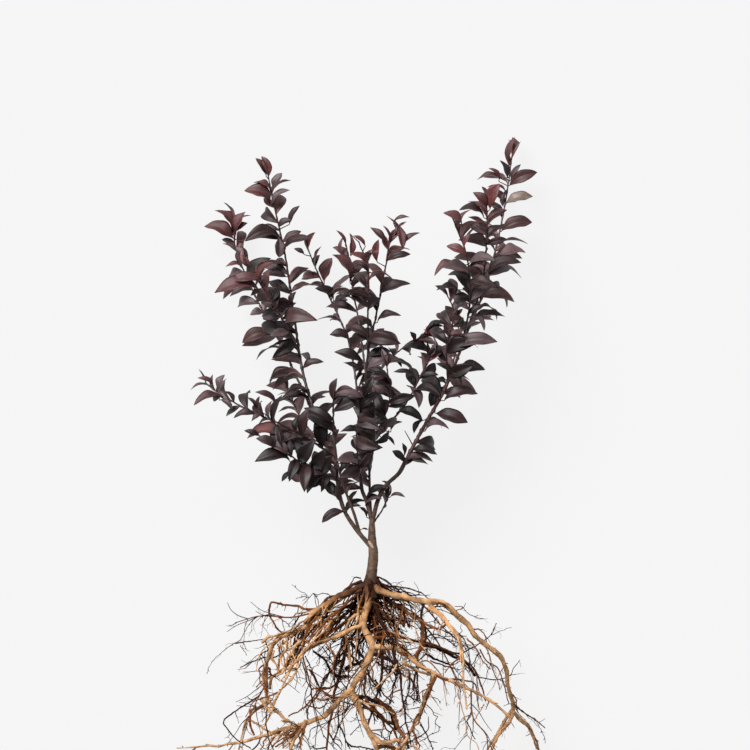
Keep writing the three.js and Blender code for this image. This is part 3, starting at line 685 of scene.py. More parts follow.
def grid_faces(grid):
    return np.stack([grid[:-1, :-1], grid[:-1, 1:], grid[1:, 1:], grid[1:, :-1]], -1).reshape(-1, 4)


def blade_frames(leaf, rows):
    """The midrib, a little sickle-shaped, with the directions to its right and up"""
    sickle = (leaf["chance"] - 0.5) * SICKLE * leaf["length"] * rows * (1 - rows) * 4
    centre = leaf_points(leaf, rows) + leaf["across"] * sickle[:, None]
    ahead = np.gradient(centre, axis=0)
    ahead /= np.linalg.norm(ahead, axis=1)[:, None]
    twist = (other_chance(leaf, 5.7) - 0.5) * TWIST * rows
    up = np.cross(leaf["across"], ahead)
    right = leaf["across"] * np.cos(twist)[:, None] + up * np.sin(twist)[:, None]
    return centre, right, np.cross(right, ahead)


def blade(leaf, builder, kind_top, kind_under):
    """One leaf: folded at the midrib, arched, twisted a little, with a waved margin"""
    chance = leaf["chance"]
    rows = np.linspace(0, 1, LEAF_ROWS)
    centre, right, up = blade_frames(leaf, rows)
    half = LEAF_WIDTH * leaf["length"] / LEAF_LENGTH / 2 * leaf.get("broad", LEAF_BREADTH)
    width = half * np.sin(math.pi * rows ** OUTLINE_LEAN) ** OUTLINE_FULLNESS
    width[0], width[-1] = END_WIDTHS
    fold = math.radians(lerp(*FOLD_RANGE, leaf["age"]) * (0.8 + 0.5 * other_chance(leaf, 3.3)))
    fold = fold * (1.2 - 0.45 * rows)
    columns = np.linspace(-1, 1, LEAF_COLUMNS)[None, :]
    across = np.abs(columns)
    lift = np.sin(fold)[:, None] * (across - MARGIN_SAG * across ** 2)
    ripple = WAVE_HEIGHT * np.sin(rows * (9 + 6 * chance) + 7 * chance)[:, None]
    wave = ripple * across ** 2 * np.sign(columns)
    slant = 2 * math.pi * (VEIN_PAIRS * rows[:, None] - VEIN_SLANT * across)
    veins = VEIN_HEIGHT * np.cos(slant) * across * (1 - across) * 4
    sideways = np.cos(fold * 0.8)[:, None] * columns
    points = (centre[:, None] + right[:, None] * (sideways * width[:, None])[:, :, None]
              + up[:, None] * ((lift + wave + veins) * width[:, None])[:, :, None])
    skin = BLADE_THICKNESS * (1 - across ** 4) * np.minimum(1, 6 * (1 - rows))[:, None]
    below = (points - up[:, None] * skin[:, :, None])[1:-1, 1:-1]
    top = np.arange(LEAF_ROWS * LEAF_COLUMNS).reshape(LEAF_ROWS, LEAF_COLUMNS)
    under = top.copy()
    under[1:-1, 1:-1] = top.size + np.arange(below[..., 0].size).reshape(below.shape[:2])
    # The under skin is split along the same diagonals as the top, so that neither shows through
    below_faces = np.roll(grid_faces(under)[:, ::-1], 1, axis=1)
    builder.add(np.vstack([points.reshape(-1, 3), below.reshape(-1, 3)]),
                [(grid_faces(top), kind_top), (below_faces, kind_under)])


# Roots

# Open places among the roots and beside them, seen from above: middle and radius
ROOT_OPENINGS = np.array([
    (-236, -33, 39), (-210, -84, 11), (-220, -156, 31), (-250, -188, 28), (-186, -162, 13),
    (252, -90, 46), (262, -165, 35), (188, -48, 21), (184, -198, 22), (116, -198, 17), (112, -237, 15),
    (180, -237, 13), (256, -237, 17), (188, -108, 10), (-120, -168, 15), (-126, -48, 11), (-76, -237, 14),
    (-33, -220, 11), (4, -218, 7), (54, -74, 10), (120, -105, 6), (112, -48, 8), (39, -207, 7),
    (60, -200, 7), (-111, -183, 11), (-134, -189, 10), (-198, -224, 10), (-168, -170, 4), (-164, -30, 8),
    (-63, -8, 28), (42, 15, 17), (102, -8, 17), (154, -30, 17), (12, -144, 6), (-40, -232, 7),
    (90, -206, 6), (-138, -124, 6), (168, -219, 10), (-94, -147, 6), (-58, -98, 4), (-42, -124, 4),
    (-30, -126, 4), (-40, -110, 3), (-60, -150, 4), (-69, -158, 4), (-44, -154, 4), (-84, -188, 6),
    (-56, -168, 4), (-96, -176, 4), (-18, -160, 6), (3, -168, 6), (4, -132, 5), (-24, -94, 4),
    (-9, -198, 4), (-33, -201, 8), (-75, -129, 5), (-62, -123, 4), (15, -108, 4), (21, -147, 4),
    (21, -168, 6), (36, -171, 7), (58, -184, 5), (58, -165, 3), (76, -156, 6), (62, -138, 4),
    (88, -112, 4), (110, -135, 8), (24, -220, 6), (50, -219, 6), (58, -201, 5), (96, -165, 9),
    (10, -148, 4),
])

# Roots stay this far inside the box of the solids, and below a height on the trunk
LOW_MARGIN = 2.5
HIGH_MARGIN = 1.5
ROOT_TOP = 12
LOW_LIMIT = np.array(CAD_BOUNDS[0]) / MM - OFFSET + LOW_MARGIN
HIGH_LIMIT = np.array(CAD_BOUNDS[1]) / MM - OFFSET - HIGH_MARGIN
HIGH_LIMIT = np.minimum(HIGH_LIMIT, (math.inf, ROOT_TOP, math.inf))
DOWN = np.array([0, -1.0, 0])

# How roots wander, swell and branch
PULL_WEIGHT = 0.14
STRETCH_RANGE = (0.6, 1.4)
KNOT_SWELL = 0.35
ROUGHNESS = 0.06
BRANCH_RADIUS_RANGE = (0.65, 1.35)
BRANCH_REACH_RANGE = (0.4, 1.5)
BRANCH_TAPER = 0.45
MOST_OF_CARRIER = 0.8
STUB_LENGTH_RANGE = (0.8, 3.2)
STUB_RADIUS_RANGE = (0.45, 0.9)
STUB_SIDES = 5
STUB_SPACING = 14
STRAND_STUB_SPACING = 20


def smooth_path(knots, pieces):
    """A rounded path through knots"""
    return curve_at(knots, np.linspace(0, 1, (len(knots) - 1) * pieces + 1))


def in_opening(point):
    across, along, radius = ROOT_OPENINGS.T
    return bool((np.hypot(across - point[0], along - point[1]) < radius).any())


def wander(start, heading, length, radius, taper, kink, pull, stretch=10, pieces=3):
    """The path of a root that feels its way in short bent stretches, drawn towards a course"""
    count = max(2, int(length / stretch))
    knots, course, point = [start.copy()], unit(heading), start.copy()
    for _ in range(count):
        course = unit(course + rng.normal(0, kink, 3) + pull * PULL_WEIGHT)
        point = point + course * stretch * rng.uniform(*STRETCH_RANGE)
        inside = np.clip(point, LOW_LIMIT, HIGH_LIMIT)
        at_edge = (inside != point).any()
        point = inside
        knots.append(point.copy())
        if at_edge or in_opening(point):
            break
    path = smooth_path(np.array(knots), pieces)
    radii = np.linspace(radius, radius * taper, len(path))
    swells = rng.uniform(0, KNOT_SWELL, len(knots))
    radii[::pieces] *= 1 + swells
    return path, radii * (1 + rng.normal(0, ROUGHNESS, len(path)))


def limb_mesh(builder, spec, sides, step, roughen, kind=0, stray=0.0):
    """A limb of the solids with its surface's bumps and its small bends"""
    _, radius, route, extras = spec
    course = Course(route)
    count = max(6, int(course.length / step))
    shares = np.linspace(0, 1, count + 1)
    path = course.at(shares)
    if stray:
        knots = max(3, int(course.length / BEND_SPACING))
        bends = rng.normal(0, stray, (knots + 1, 3))
        bends[0] = bends[-1] = 0
        for axis in range(3):
            path[:, axis] += np.interp(shares * knots, np.arange(knots + 1), bends[:, axis])
    radii = limb_radius(radius, shares, **extras)
    spots = int(course.length / SWELL_SPACING) + 2
    bumps = rng.normal(0, roughen, spots)
    swell = np.interp(shares * course.length / SWELL_SPACING, np.arange(spots), bumps)
    uneven = rng.normal(0, roughen * 0.5, (count + 1, sides))
    builder.tube(path, radii[:, None] * (1 + swell[:, None] + uneven), sides, kind)
    return path, radii


def sprout(path, radii, out, kinds, spacing, length, radius, kink, sides, stretch=10, spread=0.9, pieces=3,
           pull=0.7):
    """Side roots along a root, each with one of the kinds"""
    grown = []
    total = np.linalg.norm(np.diff(path, axis=0), axis=1).sum()
    count = int(total / spacing + rng.random())
    for _ in range(count):
        k = int(rng.integers(min(1, len(path) - 2), len(path) - 1))
        ahead = unit(path[k + 1] - path[k - 1])
        off = rng.normal(0, 1, 3) * (1, 1, 0.8)
        off = unit(off - ahead * off.dot(ahead))
        heading = ahead * math.cos(spread) + off * math.sin(spread)
        heading[1] = min(heading[1], -heading[1] + 0.3)
        thick = min(radii[k] * MOST_OF_CARRIER, radius * rng.uniform(*BRANCH_RADIUS_RANGE))
        reach = length * rng.uniform(*BRANCH_REACH_RANGE)
        draw = unit(heading * 0.5 + DOWN * pull)
        child, child_radii = wander(path[k], heading, reach, thick, BRANCH_TAPER, kink, draw, stretch, pieces)
        out.tube(child, child_radii, sides, int(rng.choice(kinds)))
        grown.append((child, child_radii))
    return grown


def knob(path, radii, spacing, out, kind):
    """Short stubs left where side roots broke off"""
    total = np.linalg.norm(np.diff(path, axis=0), axis=1).sum()
    for _ in range(int(total / spacing)):
        k = int(rng.integers(1, len(path) - 1))
        ahead = unit(path[k + 1] - path[k - 1])
        off = rng.normal(0, 1, 3)
        heading = unit(unit(off - ahead * off.dot(ahead)) + ahead * 0.4)
        long = radii[k] + rng.uniform(*STUB_LENGTH_RANGE)
        thick = rng.uniform(*STUB_RADIUS_RANGE)
        out.tube(np.array([path[k] + heading * long * share for share in (0, 0.5, 1)]),
                 [thick * 1.3, thick, thick * 0.6], STUB_SIDES, kind)


def rootlet_path(start, heading, length, random):
    """A rootlet that wanders in a few stretches"""
    course = unit(heading)
    point = start - course * ROOTLET_ROOT
    knots = [point]
    for _ in range(ROOTLET_PIECES):
        point = point + course * length / ROOTLET_PIECES
        knots.append(point)
        bend = np.array([random() - 0.5, random() - 0.5, random() - 0.5])
        course = unit(course + bend * ROOTLET_BEND)
    return smooth_path(np.array(knots), 4)


def grow_sprays():
    """Stems and rootlets of the sprays, by the rule of the solids"""
    carriers = {spec[0]: Course(spec[2]) for spec in LIMBS}
    stems, rootlets = [], []
    for name, carrier, at, toward, length in SPRAYS:
        random = seeded_random(seed_of(name))
        start = carriers[carrier].at(at)[0]
        course = unit(np.array(toward, float))
        route = [start]
        for share in (0.33, 0.66, 1):
            stray = np.array([(random() - 0.5) * SPRAY_WANDER * length for _ in range(3)])
            route.append(start + course * length * share + stray)
        stem = Course(route)
        stems.append(stem.at(np.linspace(0, 1, 16)))
        random = seeded_random(seed_of(name))
        count = math.floor(stem.length / ROOTLET_STEP + 0.5)
        for k in range(1, count + 1):
            point, ahead, side, front = stem.frame(k / count * ROOTLET_LAST_AT)
            around = k * ROOTLET_TURN + random()
            spread = lerp(*ROOTLET_SPREAD, k / count)
            heading = (ahead * math.cos(spread) + side * math.sin(spread) * math.cos(around)
                       + front * math.sin(spread) * math.sin(around))
            reach = ROOTLET_LENGTH * lerp(*ROOTLET_RANGE, random())
            rootlets.append(rootlet_path(point, heading, reach, seeded_random(seed_of(name) + k)))
    return stems, rootlets


WOOD = [spec for spec in LIMBS if spec[0] == "trunk" or spec[0].startswith("bough")]
ROOTS = [spec for spec in LIMBS if spec not in WOOD]
DARK_ROOTS = ("dark_right_root", "inner_left_root", "back_root", "thin_right_root", "low_centre_root")

# Bough stretches that carry small leaves of their own: name, bare share
LEAFY_BOUGHS = [("bough_left", 0.34), ("bough_left_inner", 0.4), ("bough_centre", 0.22),
                ("bough_centre_right", 0.3), ("bough_right", 0.5)]

# The grown leaves: those of the solids, those of the boughs, and small ones between
shoots = [(name, bare, dense, variant, Course(route)) for name, _, bare, dense, variant, route in SHOOTS]
routes = {spec[0]: Course(spec[2]) for spec in WOOD}
marks = []
leaves = grow_leaves(shoots, marks, LEAF_STEP, LEAF_SIZE, LEAF_ROOM)
boughs = [(name, bare, 1, 0, routes[name]) for name, bare in LEAFY_BOUGHS]
leaves += grow_leaves(boughs, marks, BOUGH_LEAF_STEP, BOUGH_LEAF_SIZE, SMALL_LEAF_ROOM)
finer = [(name + "_between", *rest) for name, *rest in shoots]
leaves += grow_leaves(finer, marks, BETWEEN_LEAF_STEP, BETWEEN_LEAF_SIZE, SMALL_LEAF_ROOM)

# The tuft of narrow upright leaves that ends each shoot
TUFT_LEAVES = 3
TUFT_STEP = 0.012
TUFT_RANGE = (0.3, 0.5)
TUFT_SPREAD = (10, 32)
TUFT_BREADTH = 0.72
TUFT_CURL = 0.6
TUFT_ROLL = (20, 60)


def grow_tuft(name, course):
    random = seeded_random(seed_of(name + "_tuft"))
    start = random()
    tuft = []
    for k in range(TUFT_LEAVES):
        point, ahead, side, front = course.frame(1 - TUFT_STEP * k)
        around = (start + k / TUFT_LEAVES + 0.12 * random()) * 2 * math.pi
        spread = math.radians(lerp(*TUFT_SPREAD, random()))
        out = side * math.cos(around) + front * math.sin(around) * 0.6
        heading = unit(ahead * math.cos(spread) + out * math.sin(spread))
        tip = point + heading * LEAF_LENGTH * lerp(*TUFT_RANGE, random())
        roll = lerp(*TUFT_ROLL, random())
        tuft.append(placed_leaf(point, tip, roll, TUFT_CURL, random(), TUFT_BREADTH))
    return tuft


for name, *_, course in shoots:
    leaves += grow_tuft(name, course)
leaves = [leaf for leaf in leaves if not hides_opening(leaf)]

# Tints of the leaves; those that tell lie above the leaves round them
# The grey tint is painted sheen: a paler grey base that stands in for the soft highlight on a leaf's top
DARK, BLACK, PAINTED_SHEEN, BROWN, WINE, YOUNG, RED, UNDER, BEIGE = range(9)
TELLING_TINTS = (RED, UNDER, BEIGE)

# Leaves that stand out in the plant's outline, seen from above: foot, tip, breadth and tint
OUTER_LEAVES = [
    ((-40, 102), (-75, 86), 1.0, DARK), ((-16, 76), (-5, 75), 1.0, BLACK),
    ((14, 214), (34, 202), 0.8, DARK), ((-34, 111), (-22, 134), 1.2, DARK),
    ((-10, 112), (15, 122), 1.4, PAINTED_SHEEN), ((-2, 129), (21, 138), 1.0, BLACK),
    ((27, 124), (50, 124), 0.9, PAINTED_SHEEN), ((24, 120), (26, 140), 1.0, BLACK),
    ((-8, 94), (-21, 110), 1.0, BLACK), ((-38, 102), (-16, 111), 1.0, BLACK),
    ((-170, 436), (-236, 430), 1.1, WINE), ((-164, 448), (-216, 448), 0.9, WINE),
    ((-172, 450), (-146, 476), 0.9, RED), ((-130, 214), (-187, 212), 1.45, RED),
    ((-210, 514), (-254, 532), 1.5, WINE), ((-212, 522), (-238, 556), 1.5, WINE),
    ((-207, 514), (-191, 554), 1.3, WINE), ((-208, 520), (-188, 537), 1.1, YOUNG),
    ((-204, 490), (-226, 506), 0.8, PAINTED_SHEEN), ((-194, 508), (-196, 468), 1.2, BROWN),
    ((-156, 604), (-166, 636), 1.0, YOUNG), ((-159, 606), (-175, 633), 0.9, WINE),
    ((-148, 586), (-135, 611), 1.4, PAINTED_SHEEN), ((-154, 565), (-192, 584), 1.5, WINE),
    ((-140, 514), (-140, 484), 1.5, PAINTED_SHEEN), ((-124, 534), (-108, 562), 0.9, DARK),
    ((-140, 527), (-120, 540), 1.3, DARK), ((202, 566), (243, 577), 1.1, BEIGE),
    ((192, 486), (232, 492), 1.6, UNDER), ((208, 594), (250, 614), 1.0, BROWN),
    ((195, 524), (242, 538), 1.2, BROWN), ((174, 456), (224, 476), 1.0, DARK),
    ((162, 423), (214, 417), 1.2, BROWN), ((126, 346), (188, 357), 1.0, PAINTED_SHEEN),
    ((126, 306), (170, 315), 1.3, DARK), ((96, 250), (144, 236), 1.1, DARK),
    ((60, 195), (98, 188), 1.2, BLACK), ((48, 178), (30, 194), 1.3, BLACK),
    ((48, 186), (45, 206), 1.3, BLACK), ((78, 240), (63, 220), 1.0, DARK),
    ((8, 386), (44, 396), 1.1, DARK), ((14, 430), (58, 444), 1.0, DARK),
    ((22, 477), (58, 488), 0.9, DARK), ((22, 502), (-3, 528), 0.9, BROWN),
    ((26, 500), (16, 531), 0.7, WINE), ((45, 495), (72, 520), 0.8, BROWN),
    ((38, 534), (46, 496), 0.8, WINE), ((32, 534), (57, 543), 0.8, BROWN),
    ((-58, 420), (-86, 438), 1.3, BLACK), ((-104, 314), (-72, 327), 1.1, DARK),
    ((-15, 327), (-57, 342), 1.0, BLACK), ((-15, 309), (-44, 326), 0.9, BLACK),
    ((-230, 286), (-220, 308), 1.4, PAINTED_SHEEN), ((-237, 291), (-261, 303), 0.8, BROWN),
    ((-228, 270), (-208, 255), 1.0, PAINTED_SHEEN), ((-174, 246), (-207, 243), 1.2, DARK),
    ((-172, 256), (-186, 274), 0.9, DARK), ((-172, 256), (-168, 276), 0.8, DARK),
    ((-144, 264), (-175, 282), 0.7, DARK), ((-15, 219), (-48, 222), 1.0, BLACK),
    ((-122, 178), (-175, 178), 1.1, BLACK), ((-114, 164), (-135, 148), 1.1, BLACK),
    ((-58, 270), (-52, 303), 0.9, DARK), ((62, 310), (32, 312), 0.8, BLACK),
    ((63, 356), (57, 373), 1.4, DARK), ((132, 470), (93, 455), 1.0, WINE),
    ((129, 435), (96, 434), 1.1, BLACK), ((168, 543), (130, 554), 1.3, DARK),
    ((172, 559), (151, 581), 1.3, WINE), ((204, 604), (193, 632), 1.3, DARK),
    ((142, 486), (111, 500), 1.1, YOUNG), ((-165, 402), (-184, 398), 1.6, PAINTED_SHEEN),
    ((-34, 360), (-64, 368), 1.3, DARK), ((-150, 370), (-196, 356), 1.2, BROWN),
    ((-102, 489), (-118, 498), 1.0, PAINTED_SHEEN), ((-72, 448), (-60, 484), 1.4, WINE),
    ((8, 476), (10, 510), 0.8, YOUNG), ((-10, 499), (-28, 515), 0.8, WINE),
    ((-33, 446), (-60, 488), 1.4, WINE), ((-40, 502), (-54, 525), 0.6, WINE),
    ((-33, 518), (-32, 484), 0.9, YOUNG), ((-42, 516), (-48, 492), 0.9, WINE),
    ((196, 604), (158, 602), 1.1, BROWN), ((207, 624), (216, 667), 0.6, WINE),
    ((209, 630), (225, 661), 0.3, YOUNG), ((207, 622), (199, 644), 1.0, YOUNG),
    ((-225, 276), (-266, 262), 1.0, BROWN), ((108, 269), (159, 279), 1.2, DARK),
    ((-129, 455), (-165, 460), 1.1, DARK), ((-123, 411), (-114, 433), 1.2, DARK),
    ((-153, 585), (-179, 596), 1.5, WINE), ((-150, 562), (-123, 585), 1.1, PAINTED_SHEEN),
    ((192, 600), (176, 620), 0.8, WINE), ((210, 603), (225, 626), 0.8, PAINTED_SHEEN),
    ((204, 588), (198, 562), 0.8, DARK), ((134, 531), (106, 549), 1.2, WINE),
    ((150, 386), (200, 395), 1.2, DARK), ((79, 223), (116, 226), 1.5, PAINTED_SHEEN),
    ((28, 222), (46, 237), 1.2, DARK), ((-84, 146), (-54, 124), 1.6, DARK),
    ((-70, 150), (-60, 128), 1.2, BLACK), ((-74, 155), (-97, 130), 1.3, BLACK),
    ((-206, 266), (-221, 283), 1.3, DARK), ((-159, 249), (-180, 238), 1.0, DARK),
    ((-111, 215), (-146, 202), 1.3, PAINTED_SHEEN), ((-126, 188), (-154, 204), 1.5, PAINTED_SHEEN),
    ((-146, 200), (-173, 213), 1.2, DARK), ((-101, 204), (-134, 185), 1.2, DARK),
    ((-82, 207), (-108, 200), 1.2, PAINTED_SHEEN), ((-5, 298), (28, 300), 1.7, DARK),
    ((0, 280), (46, 262), 1.0, BLACK), ((-14, 274), (-54, 280), 1.1, PAINTED_SHEEN),
    ((37, 251), (76, 239), 1.1, BLACK), ((-11, 254), (-63, 263), 1.0, BLACK),
    ((108, 290), (88, 260), 1.3, BLACK), ((52, 292), (70, 258), 1.0, PAINTED_SHEEN),
    ((-212, 500), (-188, 478), 1.2, PAINTED_SHEEN), ((177, 556), (191, 594), 1.1, YOUNG),
    ((-141, 513), (-191, 508), 1.1, DARK),
]

# How the placed leaves sit, and how far the grown ones keep from them
FRONT_FAVOUR = 0.03
LEAF_LIFT = 3
SHOWN_LIFT = 16
TWIG_LENGTH = 5
CLEAR_ROUND_SHOWN = 19
DOUBLE_ROOM = 14
RISE_RANGE = (-0.12, 0.3)
PLACED_ROLL_RANGE = (34, 60)
PLACED_CURL_RANGE = (0.8, 1.15)

bearing = np.vstack([course.at(np.linspace(0, 1, 80)) for *_, course in shoots]
                    + [course.at(np.linspace(0, 1, 40)) for course in routes.values()])
outer, shown, beside, twigs = [], [], [], []
for foot, tip, broad, tint in OUTER_LEAVES:
    behind = np.array(foot) - TWIG_LENGTH * unit(np.subtract(tip, foot))
    away = np.linalg.norm(bearing[:, :2] - behind, axis=1)
    holder = bearing[np.argmin(away - FRONT_FAVOUR * bearing[:, 2])]
    tells = tint in TELLING_TINTS
    base = np.array([*foot, holder[2] + (SHOWN_LIFT if tells else LEAF_LIFT)])
    rise = LEAF_LIFT + rng.uniform(*RISE_RANGE) * math.dist(foot, tip)
    roll = rng.uniform(*PLACED_ROLL_RANGE)
    curl = rng.uniform(*PLACED_CURL_RANGE)
    outer.append(placed_leaf(base, (*tip, base[2] + rise), roll, curl, rng.random(), broad, tint))
    twigs.append((holder, base))
    middle = leaf_points(outer[-1], 0.5)[0]
    (shown if tells else beside).append(middle)


def gives_way(leaf):
    """Whether a grown leaf lies over a placed one whose colour tells, or doubles a placed one"""
    middle = leaf_points(leaf, 0.5)[0]
    covers = any(math.dist(middle[:2], spot[:2]) < CLEAR_ROUND_SHOWN and middle[2] > spot[2]
                 for spot in shown)
    return covers or any(math.dist(middle, spot) < DOUBLE_ROOM for spot in beside)


leaves = [leaf for leaf in leaves if not gives_way(leaf)] + outer

# Materials of wood, buds and roots
bark = new_material("bark", [(-30, srgb(44, 25, 15)), (-4, srgb(62, 38, 23)), (20, srgb(79, 56, 40)),
                             (80, srgb(76, 55, 41)), (130, srgb(52, 33, 27)), (200, srgb(42, 23, 23))],
                    0.75, noise=0.6, scale=170, bump=1.0, bump_scale=1500)
shoot_bark = new_material("shoot_bark", srgb(42, 24, 25), 0.5, noise=0.3, bump=0.3)
young_bark = new_material("young_bark", srgb(56, 25, 27), 0.45, noise=0.25)
red_bark = new_material("red_bark", srgb(70, 32, 30), 0.5, noise=0.3, bump=0.3)
scar_wood = new_material("scar_wood", srgb(152, 128, 108), 0.8, noise=0.2, scale=400)
bud_red = new_material("bud_red", srgb(114, 42, 46), 0.45, noise=0.2, scale=400)
seed_black = new_material("seed_black", srgb(20, 14, 14), 0.4, noise=0.2, scale=400)
root_tan = new_material("root_tan", [(-70, srgb(168, 128, 90)), (-40, srgb(158, 117, 78)),
                                     (-24, srgb(98, 61, 36)), (-4, srgb(54, 31, 19))],
                        0.8, noise=0.5, scale=80, bump=1.0, bump_scale=1300, specular=0.2)
root_pale = new_material("root_pale", [(-60, srgb(166, 127, 89)), (-20, srgb(162, 123, 85)),
                                       (-12, srgb(120, 83, 52)), (-4, srgb(66, 41, 25))],
                         0.8, noise=0.45, scale=80, bump=1.0, bump_scale=1300, specular=0.2)
root_brown = new_material("root_brown", [(-60, srgb(106, 61, 30)), (-4, srgb(54, 26, 12))],
                          0.8, noise=0.5, scale=110, bump=0.8, bump_scale=1300, specular=0.15)
root_dark = new_material("root_dark", srgb(34, 12, 5), 0.85, noise=0.45, scale=200, bump=0.5,
                         bump_scale=1600, specular=0.1)

# Name, colour, roughness, noise, its scale and specular level of each tint of leaf, in their order
LEAF_LOOKS = [
    ("leaf_dark", (36, 14, 15), 0.54, 0.5, 90, 0.42),
    ("leaf_black", (21, 6, 6), 0.54, 0.5, 90, 0.38),
    # The grey tint paints the leaf's sheen into its colour
    ("leaf_painted_sheen", (66, 48, 50), 0.58, 0.3, 90, 0.58),
    ("leaf_brown", (54, 24, 23), 0.56, 0.45, 90, 0.5),
    ("leaf_wine", (69, 31, 32), 0.58, 0.4, 90, 0.52),
    ("leaf_young", (84, 42, 41), 0.5, 0.4, 90, 0.45),
    ("leaf_red", (66, 27, 24), 0.62, 0.5, 60, 0.4),
    ("leaf_under", (98, 72, 73), 0.52, 0.2, 90, 0.5),
    ("leaf_beige", (98, 82, 73), 0.5, 0.3, 90, 0.5),
]
leaf_tints = [new_material(name, srgb(*colour), roughness, noise=noise, scale=scale, specular=specular)
              for name, colour, roughness, noise, scale, specular in LEAF_LOOKS]

# The trunk and the boughs
BARK, SCAR = range(2)
wood = Builder("trunk_and_boughs", "bark", [spec[0] for spec in WOOD])
for spec in WOOD:
    if spec[0] == "trunk":
        limb_mesh(wood, spec, sides=30, step=1.4, roughen=0.03, kind=BARK)
    else:
        limb_mesh(wood, spec, sides=18, step=2.2, roughen=0.05, kind=BARK)


def pod(builder, centre, course, long, wide, flat, kind, sides=10):
    """A small pointed body along a course, flattened towards the viewer"""
    course = unit(np.array(course, float))
    shares = np.linspace(-1, 1, 11)
    radii = np.sqrt(np.maximum(0.02, 1 - shares ** 2))
    angles = np.arange(sides) / sides * 2 * math.pi
    shape = 1 / np.hypot(np.cos(angles) / flat, np.sin(angles) / wide)
    path = np.array(centre) + shares[:, None] * course * long
    builder.tube(path, radii[:, None] * shape[None, :], sides, kind)


# The pale scar where the left bough leaves the trunk
pod(wood, (-1.5, 53, 5.6), (0.55, -0.83, 0.05), long=7.5, wide=2.6, flat=1.6, kind=SCAR)
wood.build([bark, scar_wood])

# The shoots' stems, thicker at their nodes, and the stalks and twigs of their leaves
WOODY, GREEN, BUD, SEED, REDDISH = range(5)
STEM_STEP = 3.5
STEM_STRAY = 0.22
NODE_EVERY = 5
NODE_SWELL = 0.35
WOODY_SHARE = 0.55
STALK_SIDES = 6
STALK_SHARES = [0, 0.05, 0.1]
STALK_RADII = [0.8, 0.6, 0.4]
TWIG_RADII = [0.9, 0.8, 0.7]
SHORTEST_TWIG = 1.5

stems = Builder("shoot_stems", "bark")
for (name, radius, *_), (*_, course) in zip(SHOOTS, shoots):
    count = max(8, int(course.length / STEM_STEP))
    shares = np.linspace(0, 1, count + 1)
    path = course.at(shares) + rng.normal(0, STEM_STRAY, (count + 1, 3))
    swell = 1 + NODE_SWELL * (np.arange(count + 1) % NODE_EVERY == 0)
    radii = lerp(radius, SHOOT_TIP_RADIUS, shares) * swell
    split = max(2, int((count + 1) * WOODY_SHARE))
    stems.tube(path[:split + 1], radii[:split + 1], 9, REDDISH if name == "shoot_right_tall" else WOODY)
    stems.tube(path[split:], radii[split:], 8, GREEN)
for leaf in leaves:
    stems.tube(leaf_points(leaf, STALK_SHARES), STALK_RADII, STALK_SIDES, GREEN)
for holder, base in twigs:
    if math.dist(holder, base) > SHORTEST_TWIG:
        path = [lerp(holder, base, share) for share in (0, 0.5, 1)]
        stems.tube(path, TWIG_RADII, STALK_SIDES, GREEN)

# A star of buds at the end of the bud twig, a seed capsule on its stalk, and a dead twig
BUD_POINTS = 9
BUD_LENGTH = 3.4
BUD_RADIUS = 1.1
BUD_REACH = 3.2
CAPSULE_STALK = [(-3, 198, -22), (2, 203, -16), (6, 205, -12), (7.5, 204.5, -11)]
DEAD_TWIG = [(60, 204, 5), (57, 210, 9), (53, 217, 12), (49, 224, 13)]

bud = shoots[SHOOT_NAMES.index("shoot_bud_twig")][-1].at(1)[0]
for k in range(BUD_POINTS):
    around = k / BUD_POINTS * 2 * math.pi
    course = np.array([math.cos(around), math.sin(around), 0.5 * math.cos(3 * around)])
    pod(stems, bud + unit(course) * BUD_REACH, course, BUD_LENGTH, BUD_RADIUS, BUD_RADIUS, BUD, sides=7)
stems.tube(CAPSULE_STALK, [0.7, 0.6, 0.5, 0.5], STALK_SIDES, WOODY)
pod(stems, (7.5, 202, -11), (0.2, -1, 0), long=3.2, wide=2.5, flat=2.4, kind=SEED)
stems.tube(DEAD_TWIG, [1.1, 0.9, 0.8, 0.6], STALK_SIDES, WOODY)
stems.build([shoot_bark, young_bark, bud_red, seed_black, red_bark])

# The leaves, dealt out to three pieces
LEAF_PIECES = 3
WARM_FROM = 300
WARM_OVER = 260


def tint_of(leaf):
    """Higher and younger leaves are warmer, low ones nearly black; the near-black of the low leaves is partly
    their own darker colour and partly painted shade deep in the crown
    """
    if leaf.get("tint") is not None:
        return leaf["tint"]
    chance = other_chance(leaf, 7.3)
    warm = min(1, max(0, (leaf["base"][1] - WARM_FROM) / WARM_OVER))
    youth = 1 - leaf["age"]
    if youth > 0.35 and chance < warm:
        return YOUNG if chance < 0.4 * warm else WINE
    if chance < 0.45 * warm:
        return WINE if youth > 0 else BROWN
    # A few leaves take the grey of painted sheen
    if chance > 0.86:
        return PAINTED_SHEEN
    return BLACK if chance < 0.62 - 0.4 * warm else DARK


foliage = [Builder(f"leaves_{n + 1}", "foliage") for n in range(LEAF_PIECES)]
foliage[0].replaces = SHOOT_NAMES
for n, leaf in enumerate(leaves):
    blade(leaf, foliage[n % LEAF_PIECES], tint_of(leaf), UNDER)
for builder in foliage:
    builder.build(leaf_tints)

# The main roots, with their broken stubs
main_roots = Builder("main_roots", "root", [spec[0] for spec in ROOTS])
side_roots = Builder("side_roots", "root")
fine_roots = Builder("fine_roots", "fibre", [spray[0] for spray in SPRAYS])
hair_roots = Builder("hair_roots", "fibre")
TAN, RUSSET, DUSKY, PALE = range(4)
OWN_KINDS = {"right_root": PALE, "front_root": DUSKY}

lines = []
for spec in ROOTS:
    dark = spec[0] in DARK_ROOTS
    kind = OWN_KINDS.get(spec[0], RUSSET if dark else TAN)
    path, radii = limb_mesh(main_roots, spec, sides=12, step=2.6, roughen=0.12, kind=kind, stray=1.2)
    knob(path, radii, STUB_SPACING, main_roots, RUSSET)
    lines.append((path, radii, dark))

